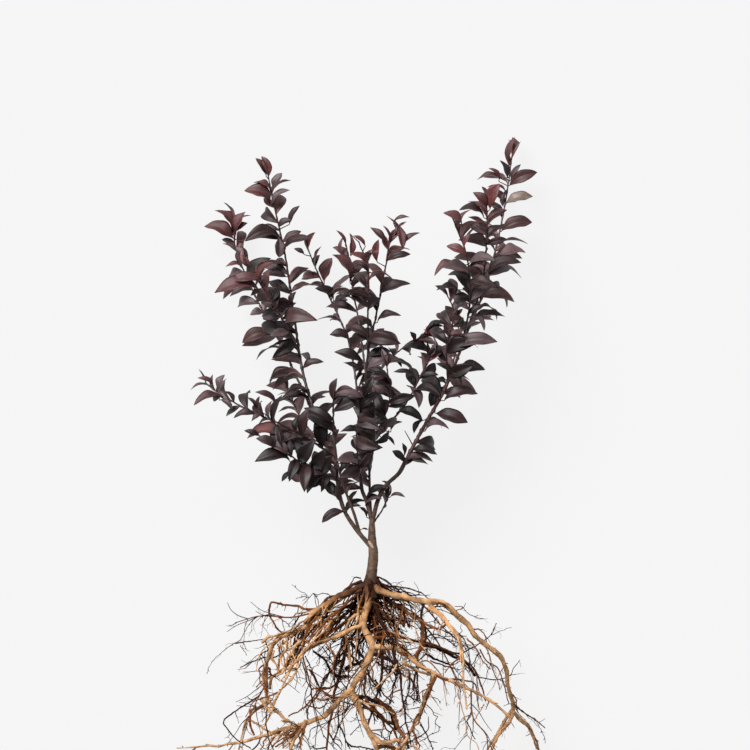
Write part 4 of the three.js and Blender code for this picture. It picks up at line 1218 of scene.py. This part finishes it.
# Side roots of the main roots: long ones along them and thinner ones across
second, third = [], []
for path, radii, dark in lines:
    second += sprout(path, radii, side_roots, [RUSSET, DUSKY, DUSKY] if dark else [TAN, RUSSET, RUSSET],
                     spacing=68, length=90, radius=1.4, kink=0.3, sides=7, stretch=11)
    second += sprout(path, radii, side_roots, [RUSSET, DUSKY] if dark else [TAN, RUSSET, DUSKY],
                     spacing=100, length=90, radius=1.1, kink=0.38, sides=7, stretch=13, spread=1.3,
                     pull=0.25)

# The dense tangle under the collar
CENTRE_ROOTS = 145
CENTRE_FAN = (-172, -8)
CENTRE_RADIUS_RANGE = (0.6, 1.7)
CENTRE_REACH_RANGE = (40, 130)
LOOSE_TAPER = 0.4
for _ in range(CENTRE_ROOTS):
    start = np.array([rng.normal(0, 4), rng.uniform(-75, 2), rng.normal(-6, 5)])
    fan = math.radians(rng.uniform(*CENTRE_FAN))
    heading = np.array([math.cos(fan), math.sin(fan), rng.normal(-0.45, 0.35)])
    thick = rng.uniform(*CENTRE_RADIUS_RANGE)
    reach = rng.uniform(*CENTRE_REACH_RANGE)
    path, radii = wander(start, heading, reach, thick, LOOSE_TAPER, 0.28, unit(heading * 0.4 + DOWN))
    side_roots.tube(path, radii, 6, int(rng.choice([DUSKY, DUSKY, DUSKY, RUSSET])))
    if rng.random() < 0.4:
        second.append((path, radii))

# The foot of the trunk runs on into the tap root
COLLAR_ROUTE = [(-1.5, 12, 0), (-3.6, -3, 1), (-4, -28, 7), (-9, -48, 12), (-13, -63, 16)]
COLLAR_RADII = [6.4, 9.6, 6.6, 4.6, 3.2]
COLLAR_SIDES = 16
collar_shares = np.linspace(0, 1, 26)
collar_radii = np.interp(collar_shares, np.linspace(0, 1, len(COLLAR_RADII)), COLLAR_RADII)
collar_bumps = rng.normal(0, 0.05, (len(collar_shares), COLLAR_SIDES))
main_roots.tube(Course(COLLAR_ROUTE).at(collar_shares), collar_radii[:, None] * (1 + collar_bumps),
                COLLAR_SIDES, TAN)

# Strands that leave the foot of the trunk all round and hide where it ends
COLLAR_STRANDS = 22
COLLAR_REACH = 10
for n in range(COLLAR_STRANDS):
    around = (n + rng.random()) / COLLAR_STRANDS * 2 * math.pi
    out = np.array([math.cos(around), 0, math.sin(around)])
    thick = rng.uniform(1.1, 2.4)
    top = out * (COLLAR_REACH - thick * 0.6) + (-1.5, rng.uniform(-14, 6), 0)
    in_front = out[2] > 0.45
    heading = unit(out * rng.uniform(0.15, 0.9) + DOWN * rng.uniform(0.6, 1.2))
    if in_front and rng.random() < 0.8:
        continue
    reach = rng.uniform(25, 45) if in_front else rng.uniform(60, 150)
    path, radii = wander(top, heading, reach, thick, LOOSE_TAPER, 0.24, unit(out * 0.5 + DOWN))
    side_roots.tube(path, radii, 8, DUSKY if in_front else int(rng.choice([TAN, RUSSET, RUSSET, DUSKY])))
    second.append((path, radii))

# Roots that stand out, seen from above: radius at the start, kind and route
STANDING_ROOTS = [
    (1.9, TAN, [(-15, -15), (-33, -21), (-48, -30), (-56, -36), (-70, -42), (-86, -48)]),
    (1.0, TAN, [(-22, -26), (-40, -34), (-52, -39), (-63, -45), (-70, -52), (-78, -63)]),
    (2.4, TAN, [(-30, -60), (-48, -56), (-60, -60), (-75, -64), (-90, -69), (-104, -75), (-116, -81),
     (-128, -92), (-138, -99)]),
    (2.1, TAN,
     [(-16, -46), (-30, -56), (-36, -64), (-39, -75), (-38, -90), (-34, -102), (-33, -120), (-30, -132)]),
    (2.6, TAN, [(-39, -78), (-51, -81), (-63, -87), (-75, -92), (-87, -98), (-99, -105), (-108, -116),
     (-116, -123), (-123, -132), (-134, -135), (-142, -141), (-150, -147), (-153, -156), (-154, -165)]),
    (1.6, TAN, [(-104, -105), (-111, -117), (-110, -126), (-114, -135), (-120, -146), (-130, -156),
     (-138, -165), (-144, -176), (-150, -183)]),
    (2.0, TAN,
     [(-108, -90), (-116, -99), (-118, -108), (-126, -114), (-128, -126), (-132, -135), (-141, -141)]),
    (1.7, RUSSET, [(-56, -24), (-68, -27), (-74, -36), (-87, -44), (-104, -42), (-111, -39), (-123, -38),
     (-138, -36), (-150, -33), (-153, -39), (-154, -52), (-148, -63), (-141, -75), (-130, -81)]),
    (0.5, DUSKY, [(-153, -52), (-165, -54), (-176, -58), (-188, -72), (-198, -90), (-213, -99),
     (-234, -116), (-243, -128), (-248, -141)]),
    (0.5, DUSKY, [(-198, -99), (-188, -114)]),
    (0.7, DUSKY, [(-153, -52), (-138, -57), (-129, -64), (-123, -70)]),
    (1.8, TAN,
     [(-165, -94), (-156, -86), (-146, -84), (-134, -81), (-120, -76), (-110, -66), (-96, -56)]),
    (0.6, DUSKY,
     [(-60, -24), (-72, -19), (-82, -22), (-88, -20), (-94, -26), (-100, -24), (-108, -26), (-114, -28)]),
    (0.4, DUSKY, [(-94, -26), (-100, -20), (-108, -16), (-116, -10), (-120, -6)]),
    (0.6, DUSKY, [(-88, -20), (-82, -27), (-80, -38)]),
    (0.7, DUSKY, [(-94, -45), (-105, -51), (-111, -58), (-116, -69)]),
    (0.9, DUSKY, [(-153, -120), (-146, -117), (-134, -110), (-123, -105), (-112, -105)]),
    (0.8, DUSKY, [(-206, -96), (-188, -93), (-165, -90), (-154, -86)]),
    (0.9, DUSKY, [(-162, -90), (-156, -105), (-166, -112), (-160, -123), (-159, -138)]),
    (0.9, DUSKY, [(-159, -117), (-176, -122), (-198, -132)]),
    (1.8, RUSSET,
     [(-15, -18), (-30, -27), (-42, -39), (-54, -48), (-66, -57), (-78, -72), (-90, -84), (-99, -93)]),
    (1.9, DUSKY, [(-18, -30), (-36, -39), (-51, -48), (-66, -54), (-81, -57), (-93, -66)]),
    (1.8, DUSKY, [(-21, -39), (-39, -51), (-54, -63), (-63, -75), (-75, -84), (-93, -96)]),
    (1.7, RUSSET, [(-40, -63), (-52, -72), (-66, -78), (-78, -84), (-92, -94)]),
    (1.4, RUSSET, [(-75, -39), (-81, -51), (-90, -63), (-98, -75), (-102, -90), (-104, -102)]),
    (1.2, RUSSET, [(-30, -39), (-45, -44), (-60, -48), (-75, -51), (-87, -58)]),
    (2.3, TAN, [(-158, -180), (-150, -192), (-138, -204), (-126, -213), (-117, -220)]),
    (1.4, TAN, [(-134, -207), (-123, -212), (-112, -219)]),
    (1.9, RUSSET, [(-159, -189), (-171, -194), (-182, -198), (-184, -212), (-183, -225), (-178, -236)]),
    (1.4, TAN, [(-184, -214), (-165, -225), (-154, -232), (-122, -238)]),
    (1.0, DUSKY,
     [(-172, -178), (-190, -189), (-208, -201), (-224, -214), (-216, -228), (-204, -242), (-183, -255)]),
    (0.9, DUSKY, [(-156, -192), (-158, -210), (-156, -222), (-153, -237), (-147, -249), (-144, -262)]),
    (2.7, TAN, [(-99, -213), (-108, -228), (-118, -243), (-123, -258)]),
    (1.2, DUSKY, [(-105, -220), (-105, -232), (-106, -246)]),
    (1.0, RUSSET, [(-129, -228), (-128, -240), (-122, -252)]),
    (0.8, DUSKY, [(-33, -186), (-40, -198), (-51, -204), (-63, -210), (-75, -216), (-90, -222),
     (-93, -230), (-96, -240)]),
    (1.0, DUSKY, [(-51, -180), (-51, -204), (-50, -219), (-54, -232), (-58, -243), (-62, -249)]),
    (1.0, DUSKY, [(-50, -219), (-44, -232), (-38, -248), (-33, -258)]),
    (1.4, RUSSET, [(-93, -132), (-86, -144), (-81, -156), (-78, -165), (-84, -176), (-92, -186),
     (-98, -198), (-96, -210)]),
    (0.8, DUSKY, [(-104, -120), (-99, -138), (-96, -153), (-90, -160), (-92, -168), (-99, -176),
     (-99, -186), (-94, -198)]),
    (0.9, DUSKY, [(-63, -138), (-70, -153), (-78, -165)]),
    (1.1, RUSSET, [(-52, -156), (-63, -164), (-78, -165), (-63, -174), (-51, -180)]),
    (1.2, RUSSET, [(-63, -180), (-75, -183), (-88, -180), (-98, -189), (-108, -198), (-126, -207)]),
    (0.8, DUSKY, [(-100, -112), (-90, -132), (-81, -150)]),
    (1.0, DUSKY, [(-84, -108), (-70, -120), (-63, -132), (-54, -147), (-48, -156)]),
    (0.8, RUSSET, [(-75, -98), (-66, -112), (-57, -128), (-52, -142)]),
    (0.8, DUSKY, [(-63, -93), (-60, -108), (-51, -120), (-46, -132), (-40, -144)]),
    (1.0, RUSSET, [(-45, -90), (-48, -108), (-54, -123), (-57, -135), (-54, -150)]),
    (2.0, RUSSET, [(27, -38), (42, -40), (54, -50), (64, -56), (75, -62), (87, -69), (98, -72),
     (106, -69), (112, -64)]),
    (1.9, RUSSET, [(78, -34), (75, -45), (74, -57), (76, -66)]),
    (0.9, DUSKY, [(84, -86), (93, -82), (104, -84), (114, -90), (126, -98)]),
    (0.8, DUSKY, [(80, -74), (96, -74), (105, -76), (117, -82), (129, -84), (142, -86)]),
    (1.0, DUSKY, [(87, -120), (99, -124), (114, -128), (130, -132)]),
    (0.9, DUSKY, [(39, -57), (50, -63), (60, -70), (68, -74)]),
    (1.3, DUSKY, [(6, -122), (18, -129), (30, -135), (38, -141)]),
    (0.6, TAN, [(-2, -30), (6, -39), (14, -45), (20, -52)]),
    (0.5, TAN, [(-2, -74), (9, -69), (20, -66), (27, -62)]),
    (0.9, TAN, [(28, -81), (36, -93), (44, -102)]),
    (1.2, TAN,
     [(27, -48), (34, -57), (36, -72), (40, -84), (46, -93), (50, -105), (60, -112), (72, -126)]),
    (0.6, DUSKY, [(100, -33), (93, -44), (84, -48), (75, -54)]),
    (0.5, DUSKY, [(62, -33), (69, -42), (74, -48)]),
    (0.6, DUSKY, [(98, -54), (92, -62), (100, -64), (110, -70)]),
    (1.0, RUSSET, [(141, -86), (150, -94), (158, -105), (160, -110), (166, -120), (177, -132)]),
    (0.7, DUSKY, [(160, -110), (156, -120), (154, -138)]),
    (1.0, RUSSET, [(148, -75), (159, -74), (168, -80), (172, -93)]),
    (1.0, DUSKY, [(72, -216), (80, -228), (87, -242), (93, -258)]),
    (0.6, DUSKY, [(82, -186), (90, -194), (92, -201), (98, -204), (94, -212), (100, -220), (99, -226),
     (87, -231), (80, -237), (69, -242)]),
    (0.5, DUSKY, [(87, -174), (98, -177), (102, -184)]),
    (1.1, DUSKY, [(56, -138), (56, -153), (54, -168), (48, -180), (44, -192), (36, -196), (32, -201)]),
    (0.9, DUSKY, [(54, -170), (62, -176), (72, -183)]),
    (1.2, DUSKY, [(69, -135), (68, -147), (69, -165), (72, -180)]),
    (1.2, DUSKY, [(30, -128), (26, -138), (21, -148), (15, -159), (12, -168), (14, -180)]),
    (1.0, DUSKY, [(33, -135), (36, -144), (32, -158), (30, -172), (27, -183)]),
    (3.2, RUSSET,
     [(4, -183), (14, -190), (24, -194), (32, -202), (36, -213), (40, -224), (46, -232), (52, -243)]),
    (1.8, RUSSET, [(-10, -180), (0, -189), (9, -200), (18, -210), (30, -216)]),
    (3.4, TAN, [(0, -232), (12, -242), (24, -244), (36, -240), (48, -242)]),
    (2.2, TAN, [(54, -231), (45, -243), (34, -252), (24, -258)]),
    (2.8, RUSSET, [(6, -252), (18, -249), (30, -252), (45, -258)]),
    (1.0, RUSSET, [(20, -210), (16, -225), (14, -237)]),
    (0.7, DUSKY, [(40, -226), (50, -216), (60, -213), (69, -210)]),
    (1.7, DUSKY, [(50, -237), (54, -248)]),
    (1.3, TAN, [(57, -242), (64, -246), (80, -258)]),
    (0.8, TAN, [(126, -156), (129, -171), (134, -188), (138, -202), (140, -214), (142, -228), (146, -236),
     (154, -240), (159, -249), (160, -261)]),
    (0.9, DUSKY,
     [(148, -165), (148, -183), (148, -198), (142, -210), (146, -219), (150, -230), (154, -237)]),
    (0.5, DUSKY, [(144, -234), (134, -244), (124, -258)]),
    (0.7, TAN, [(170, -190), (162, -204), (152, -220)]),
    (1.2, DUSKY, [(-40, -246), (-30, -252), (-15, -252), (3, -255)]),
    (0.6, DUSKY, [(-33, -232), (-26, -225), (-16, -216)]),
    (1.2, DUSKY, [(8, 4), (20, 0), (34, -12), (45, -14), (57, -22), (72, -22)]),
    (0.4, DUSKY, [(36, -12), (40, -4), (48, -2)]),
    (0.4, DUSKY, [(70, -22), (69, -12), (63, -3)]),
    (0.8, DUSKY, [(-16, 3), (-26, 4), (-33, -8), (-38, -21)]),
    (1.9, TAN, [(213, -200), (222, -213), (234, -222), (242, -237), (249, -258)]),
    (2.6, TAN, [(213, -200), (207, -216), (196, -228), (186, -243), (180, -258)]),
    (0.5, DUSKY, [(216, -189), (228, -201), (242, -210), (252, -222), (264, -248)]),
    (0.5, DUSKY, [(124, -39), (135, -40), (144, -50), (159, -56), (168, -58)]),
    (2.2, RUSSET, [(-14, -2), (-30, -8), (-45, -20), (-58, -30)]),
    (1.9, TAN, [(-158, -120), (-163, -138), (-163, -156), (-160, -172), (-156, -186)]),
    (2.2, TAN, [(-167, -181), (-158, -190), (-150, -194)]),
    (2.4, RUSSET, [(94, -144), (88, -160), (82, -177), (76, -192), (72, -207)]),
    (2.6, DUSKY, [(9, -186), (21, -194), (28, -204), (32, -216), (36, -226)]),
    (2.2, TAN, [(84, -40), (98, -50), (110, -62), (120, -74), (128, -86), (132, -104), (133, -120)]),
    (1.4, DUSKY, [(-87, -105), (-78, -112), (-70, -120), (-66, -129), (-62, -138), (-57, -144),
     (-56, -156), (-51, -165)]),
    (0.8, DUSKY, [(-70, -98), (-63, -106), (-64, -114), (-70, -120)]),
    (1.6, RUSSET, [(-46, -102), (-51, -112), (-54, -123), (-56, -135), (-56, -144)]),
    (0.7, DUSKY, [(-51, -117), (-46, -126), (-44, -135), (-44, -144)]),
    (1.1, RUSSET, [(-45, -105), (-39, -114), (-34, -120), (-34, -132), (-36, -144), (-33, -156)]),
    (1.3, RUSSET, [(-63, -138), (-69, -147), (-75, -156), (-78, -164), (-84, -171), (-90, -180),
     (-94, -190), (-99, -202)]),
    (1.1, DUSKY, [(-78, -164), (-66, -164), (-57, -160), (-50, -156), (-44, -150), (-34, -146)]),
    (2.1, DUSKY, [(-56, -144), (-46, -147), (-40, -146), (-34, -148)]),
    (1.1, RUSSET, [(-92, -166), (-78, -165), (-69, -172), (-58, -174), (-48, -170), (-42, -162)]),
    (1.1, TAN, [(-86, -177), (-75, -180), (-66, -177), (-57, -180), (-51, -176)]),
    (0.9, DUSKY, [(-99, -188), (-90, -192), (-78, -194), (-70, -189), (-66, -183), (-58, -177)]),
    (2.6, DUSKY, [(-39, -135), (-30, -129), (-21, -126), (-12, -120), (-6, -114)]),
    (2.2, DUSKY, [(-30, -98), (-22, -106), (-15, -114), (-9, -120)]),
    (1.6, RUSSET, [(-40, -102), (-34, -112), (-28, -120), (-33, -132)]),
    (1.4, DUSKY, [(-6, -135), (-4, -144), (0, -153), (6, -162), (10, -171)]),
    (1.7, RUSSET, [(-12, -138), (-10, -150), (-12, -165), (-9, -177), (-4, -186), (2, -195)]),
    (3.0, DUSKY, [(-24, -174), (-16, -177), (-9, -178), (0, -184), (9, -189)]),
    (1.3, RUSSET, [(-18, -184), (-9, -189), (-3, -196), (4, -202), (9, -210)]),
    (0.8, TAN, [(-4, -146), (-2, -156), (4, -162), (10, -168)]),
    (0.9, DUSKY, [(0, -198), (-3, -207), (-6, -213)]),
    (0.5, DUSKY, [(-21, -204), (-27, -210), (-33, -214)]),
    (2.7, RUSSET, [(39, -105), (50, -111), (60, -116), (69, -123), (78, -130), (87, -140)]),
    (2.1, TAN, [(45, -120), (54, -126), (64, -132), (75, -136), (87, -141)]),
    (1.8, TAN, [(22, -132), (32, -135), (40, -141), (51, -147), (58, -150)]),
    (1.2, TAN, [(42, -129), (51, -132), (56, -138), (58, -147)]),
    (2.7, DUSKY, [(4, -110), (12, -114), (21, -116), (30, -120), (38, -128), (38, -138)]),
    (1.0, DUSKY, [(39, -142), (32, -153), (30, -165), (27, -176), (24, -189)]),
    (0.7, DUSKY, [(51, -171), (51, -183), (50, -196), (54, -202), (62, -210)]),
    (1.4, DUSKY, [(58, -150), (64, -160), (68, -171), (69, -180)]),
    (0.7, DUSKY, [(63, -165), (64, -180), (63, -192)]),
    (0.6, DUSKY, [(42, -150), (45, -162), (45, -177)]),
    (1.6, TAN, [(79, -180), (74, -189), (70, -201), (70, -213), (63, -219), (58, -228), (50, -238)]),
    (1.4, RUSSET, [(72, -198), (64, -207), (62, -219), (64, -232), (66, -243)]),
    (1.3, RUSSET, [(4, -195), (12, -206), (18, -216), (21, -225), (30, -232)]),
    (1.2, DUSKY, [(6, -200), (14, -210), (22, -214), (32, -219)]),
    (1.1, DUSKY, [(4, -153), (12, -165), (18, -176), (26, -183), (33, -188)]),
    (2.3, DUSKY,
     [(80, -100), (92, -102), (102, -106), (114, -112), (124, -118), (141, -126), (156, -147)]),
    (1.5, DUSKY, [(42, -99), (51, -105), (58, -112), (66, -120)]),
    (1.6, DUSKY, [(80, -112), (93, -120), (105, -124), (117, -129), (124, -129)]),
    (2.6, RUSSET, [(75, -62), (76, -76), (75, -90), (72, -102), (66, -112), (69, -123)]),
    (0.9, RUSSET, [(166, -93), (176, -112), (180, -132), (188, -150), (192, -165)]),
    (0.9, RUSSET, [(162, -105), (172, -122), (188, -132), (196, -150), (202, -172), (206, -189)]),
]
ATTACHED_WITHIN = 9
TAN_LIFT = 3
OTHER_LIFT = -2
HEIGHT_STRAY = 2.5
STRAND_STEP = 4
STRAND_STRAY = 0.35
STRAND_TAPER = 0.65
STRAND_SWELL = 0.4
main_path = np.vstack([path for path, _, _ in lines])


def depth_at(spot):
    """Height of the nearest main root, and how far away it is seen from above"""
    away = np.linalg.norm(main_path[:, :2] - spot, axis=1)
    near = np.argmin(away - 0.02 * main_path[:, 2])
    return main_path[near, 2], away[near]


def raised(flat, kind):
    """A flat route lifted to the main roots that it starts from and ends on"""
    start, _ = depth_at(flat[0])
    end, away = depth_at(flat[-1])
    if away > ATTACHED_WITHIN:
        end = start + rng.normal(0, 0.08) * math.dist(flat[0], flat[-1])
    heights = np.linspace(start, end, len(flat)) + (TAN_LIFT if kind == TAN else OTHER_LIFT)
    heights[1:-1] += rng.normal(0, HEIGHT_STRAY, len(flat) - 2)
    return np.column_stack([flat, np.clip(heights, LOW_LIMIT[2], HIGH_LIMIT[2])])


def strand(flat, thick, kind, bears=True):
    """A thin root along a flat route, which may bear rootlets of its own"""
    course = Course(raised(np.array(flat, float), kind))
    spots = int(course.length / STRAND_STEP) + 3
    path = course.at(np.linspace(0, 1, spots)) + rng.normal(0, STRAND_STRAY, (spots, 3))
    swell = 1 + rng.uniform(0, STRAND_SWELL, spots)
    radii = np.linspace(thick, thick * STRAND_TAPER, spots) * swell
    side_roots.tube(np.clip(path, LOW_LIMIT, HIGH_LIMIT + (0, 8, 0)), radii, 8, kind)
    knob(path, radii, STRAND_STUB_SPACING, side_roots, kind)
    if bears:
        second.append((path, radii))


for thick, kind, route in STANDING_ROOTS:
    strand(route, thick, kind)

# Nets of crossing strands between two lines, seen from above: number, kinds, largest radius, slant, lines
NETS = [
    (28, [TAN, RUSSET, RUSSET, DUSKY], 1.6, 0.8,
     [(-18, -8), (-54, -29), (-81, -42), (-96, -60)], [(-33, -59), (-60, -60), (-90, -69), (-104, -75)]),
    (26, [TAN, RUSSET, RUSSET, DUSKY], 1.6, 0.8, [(-33, -59), (-60, -60), (-90, -69), (-120, -81)],
     [(-39, -78), (-63, -87), (-99, -105), (-126, -126)]),
    (12, [TAN, TAN, RUSSET], 1.8, 0.7,
     [(-120, -81), (-144, -98), (-153, -123)], [(-99, -105), (-123, -126), (-141, -141)]),
    (14, [TAN, RUSSET, DUSKY], 1.5, 0.5,
     [(20, -30), (42, -40), (69, -60)], [(12, -48), (34, -60), (60, -75)]),
    (18, [TAN, TAN, RUSSET], 1.7, 0.3,
     [(-100, -215), (-120, -222), (-150, -232)], [(-105, -250), (-126, -255), (-165, -250)]),
]
SHORTEST_STRAND = 24
for number, kinds, thickest, slant, one, other in NETS:
    one, other = np.array(one, float), np.array(other, float)
    for _ in range(number):
        along = rng.uniform(0, len(one) - 1)
        across = along * (len(other) - 1) / (len(one) - 1) + rng.normal(slant, 0.6)
        across = min(max(across, 0), len(other) - 1)
        start = np.array([np.interp(along, np.arange(len(one)), one[:, axis]) for axis in (0, 1)])
        end = np.array([np.interp(across, np.arange(len(other)), other[:, axis]) for axis in (0, 1)])
        if math.dist(start, end) < SHORTEST_STRAND:
            continue
        between = [lerp(start, end, share) + rng.normal(0, 3, 2) for share in (0.33, 0.66)]
        strand([start, *between, end], rng.uniform(0.5, thickest), int(rng.choice(kinds)), bears=False)

# Fine roots on the side roots and the sprays, and hairs on both
FINE_KINDS = [RUSSET, DUSKY]
for path, radii in second:
    third += sprout(path, radii, fine_roots, [RUSSET, DUSKY, DUSKY], spacing=36, length=32, radius=0.62,
                    kink=0.36, sides=5, stretch=8)
spray_stems, rootlets = grow_sprays()
for path in spray_stems:
    thick = np.linspace(SPRAY_RADIUS, SPRAY_TIP_RADIUS, len(path))
    fine_roots.tube(path, thick, 6, RUSSET)
    third += sprout(path, thick, fine_roots, FINE_KINDS, spacing=22, length=42, radius=0.5, kink=0.32,
                    sides=5, stretch=8)
for path in rootlets:
    thick = np.linspace(ROOTLET_RADIUS, ROOTLET_RADIUS / 2, len(path))
    fine_roots.tube(path, thick, 5, DUSKY)
    third.append((path, thick))
for path, radii in third:
    sprout(path, radii, hair_roots, FINE_KINDS, spacing=34, length=14, radius=0.28, kink=0.35, sides=3,
           stretch=5, pieces=2)
for path, radii in second:
    sprout(path, radii, hair_roots, FINE_KINDS, spacing=36, length=15, radius=0.3, kink=0.35, sides=3,
           stretch=5, pieces=2)
for builder in (main_roots, side_roots, fine_roots, hair_roots):
    builder.build([root_tan, root_brown, root_dark, root_pale])

# The floor glows like a light table, so that it stays pale under the plant
FLOOR_ALBEDO = 0.045
FLOOR_GLOW = 0.84
FLOOR_REACH = 9
corners = [(-FLOOR_REACH, -FLOOR_REACH, 0), (FLOOR_REACH, -FLOOR_REACH, 0),
           (FLOOR_REACH, FLOOR_REACH, 0), (-FLOOR_REACH, FLOOR_REACH, 0)]
floor_mesh = bpy.data.meshes.new("floor")
floor_mesh.from_pydata(corners, [], [(0, 1, 2, 3)])
floor = bpy.data.objects.new("floor", floor_mesh)
bpy.context.scene.collection.objects.link(floor)
floor_mesh.materials.append(new_material("floor_paper", (FLOOR_ALBEDO,) * 3, 0.95, noise=0.003, scale=3,
                                         specular=0, glow=FLOOR_GLOW))

scene = bpy.context.scene
scene.view_settings.view_transform = "Standard"

# A dim dome with broad bright patches, as from soft boxes round the plant: direction, edge, strength
DOME = 0.15
SOFT_EDGE = 0.12
SOFT_BOXES = [((-0.45, 0.7, 0.55), 0.75, 2.0), ((0.75, 0.3, 0.5), 0.85, 1.0), ((0, -0.8, 0.5), 0.85, 0.4)]
world = bpy.data.worlds.new("studio")
world.use_nodes = True
studio = world.node_tree
place = add_node(studio, "TexCoord")
light = None
for direction, edge, strength in SOFT_BOXES:
    facing = add_node(studio, "VectorMath")
    facing.operation = "DOT_PRODUCT"
    facing.inputs[1].default_value = tuple(unit(np.array(direction, float)))
    studio.links.new(place.outputs["Generated"], facing.inputs[0])
    patch = add_node(studio, "MapRange", From_Min=edge, From_Max=edge + SOFT_EDGE, To_Max=strength)
    patch.interpolation_type = "SMOOTHSTEP"
    studio.links.new(facing.outputs["Value"], patch.inputs["Value"])
    total = add_node(studio, "Math")
    total.inputs[1].default_value = DOME
    studio.links.new(patch.outputs["Result"], total.inputs[0])
    if light:
        studio.links.new(light.outputs[0], total.inputs[1])
    light = total
background = studio.nodes["Background"]
background.inputs["Color"].default_value = (1, 1, 1, 1)
studio.links.new(light.outputs[0], background.inputs["Strength"])
scene.world = world

# The key light
KEY_STRENGTH = 4.5
KEY_SOFTNESS = 30
KEY_COURSE = (0.42, -0.5, -0.76)
sun_data = bpy.data.lights.new("key_light", "SUN")
sun_data.energy = KEY_STRENGTH
sun_data.angle = math.radians(KEY_SOFTNESS)
sun = bpy.data.objects.new("key_light", sun_data)
sun.rotation_euler = Vector(KEY_COURSE).to_track_quat("-Z", "Y").to_euler()
scene.collection.objects.link(sun)

# The camera, which looks straight down
PHOTO_SIZE = 750
MM_PER_PIXEL = 1.5
COLLAR_PIXEL = (372, 580)
CAMERA_DISTANCE = 14
SENSOR_WIDTH = 36
FARTHEST_SEEN = 60
middle = PHOTO_SIZE / 2
centre = OFFSET + ((middle - COLLAR_PIXEL[0]) * MM_PER_PIXEL, (COLLAR_PIXEL[1] - middle) * MM_PER_PIXEL, 0)
camera_data = bpy.data.cameras.new("camera")
camera_data.sensor_width = SENSOR_WIDTH
camera_data.lens = SENSOR_WIDTH * CAMERA_DISTANCE / (PHOTO_SIZE * MM_PER_PIXEL * MM)
camera_data.clip_end = FARTHEST_SEEN
camera = bpy.data.objects.new("camera", camera_data)
camera.location = (centre[0] * MM, centre[1] * MM, centre[2] * MM + CAMERA_DISTANCE)
scene.collection.objects.link(camera)
scene.camera = camera
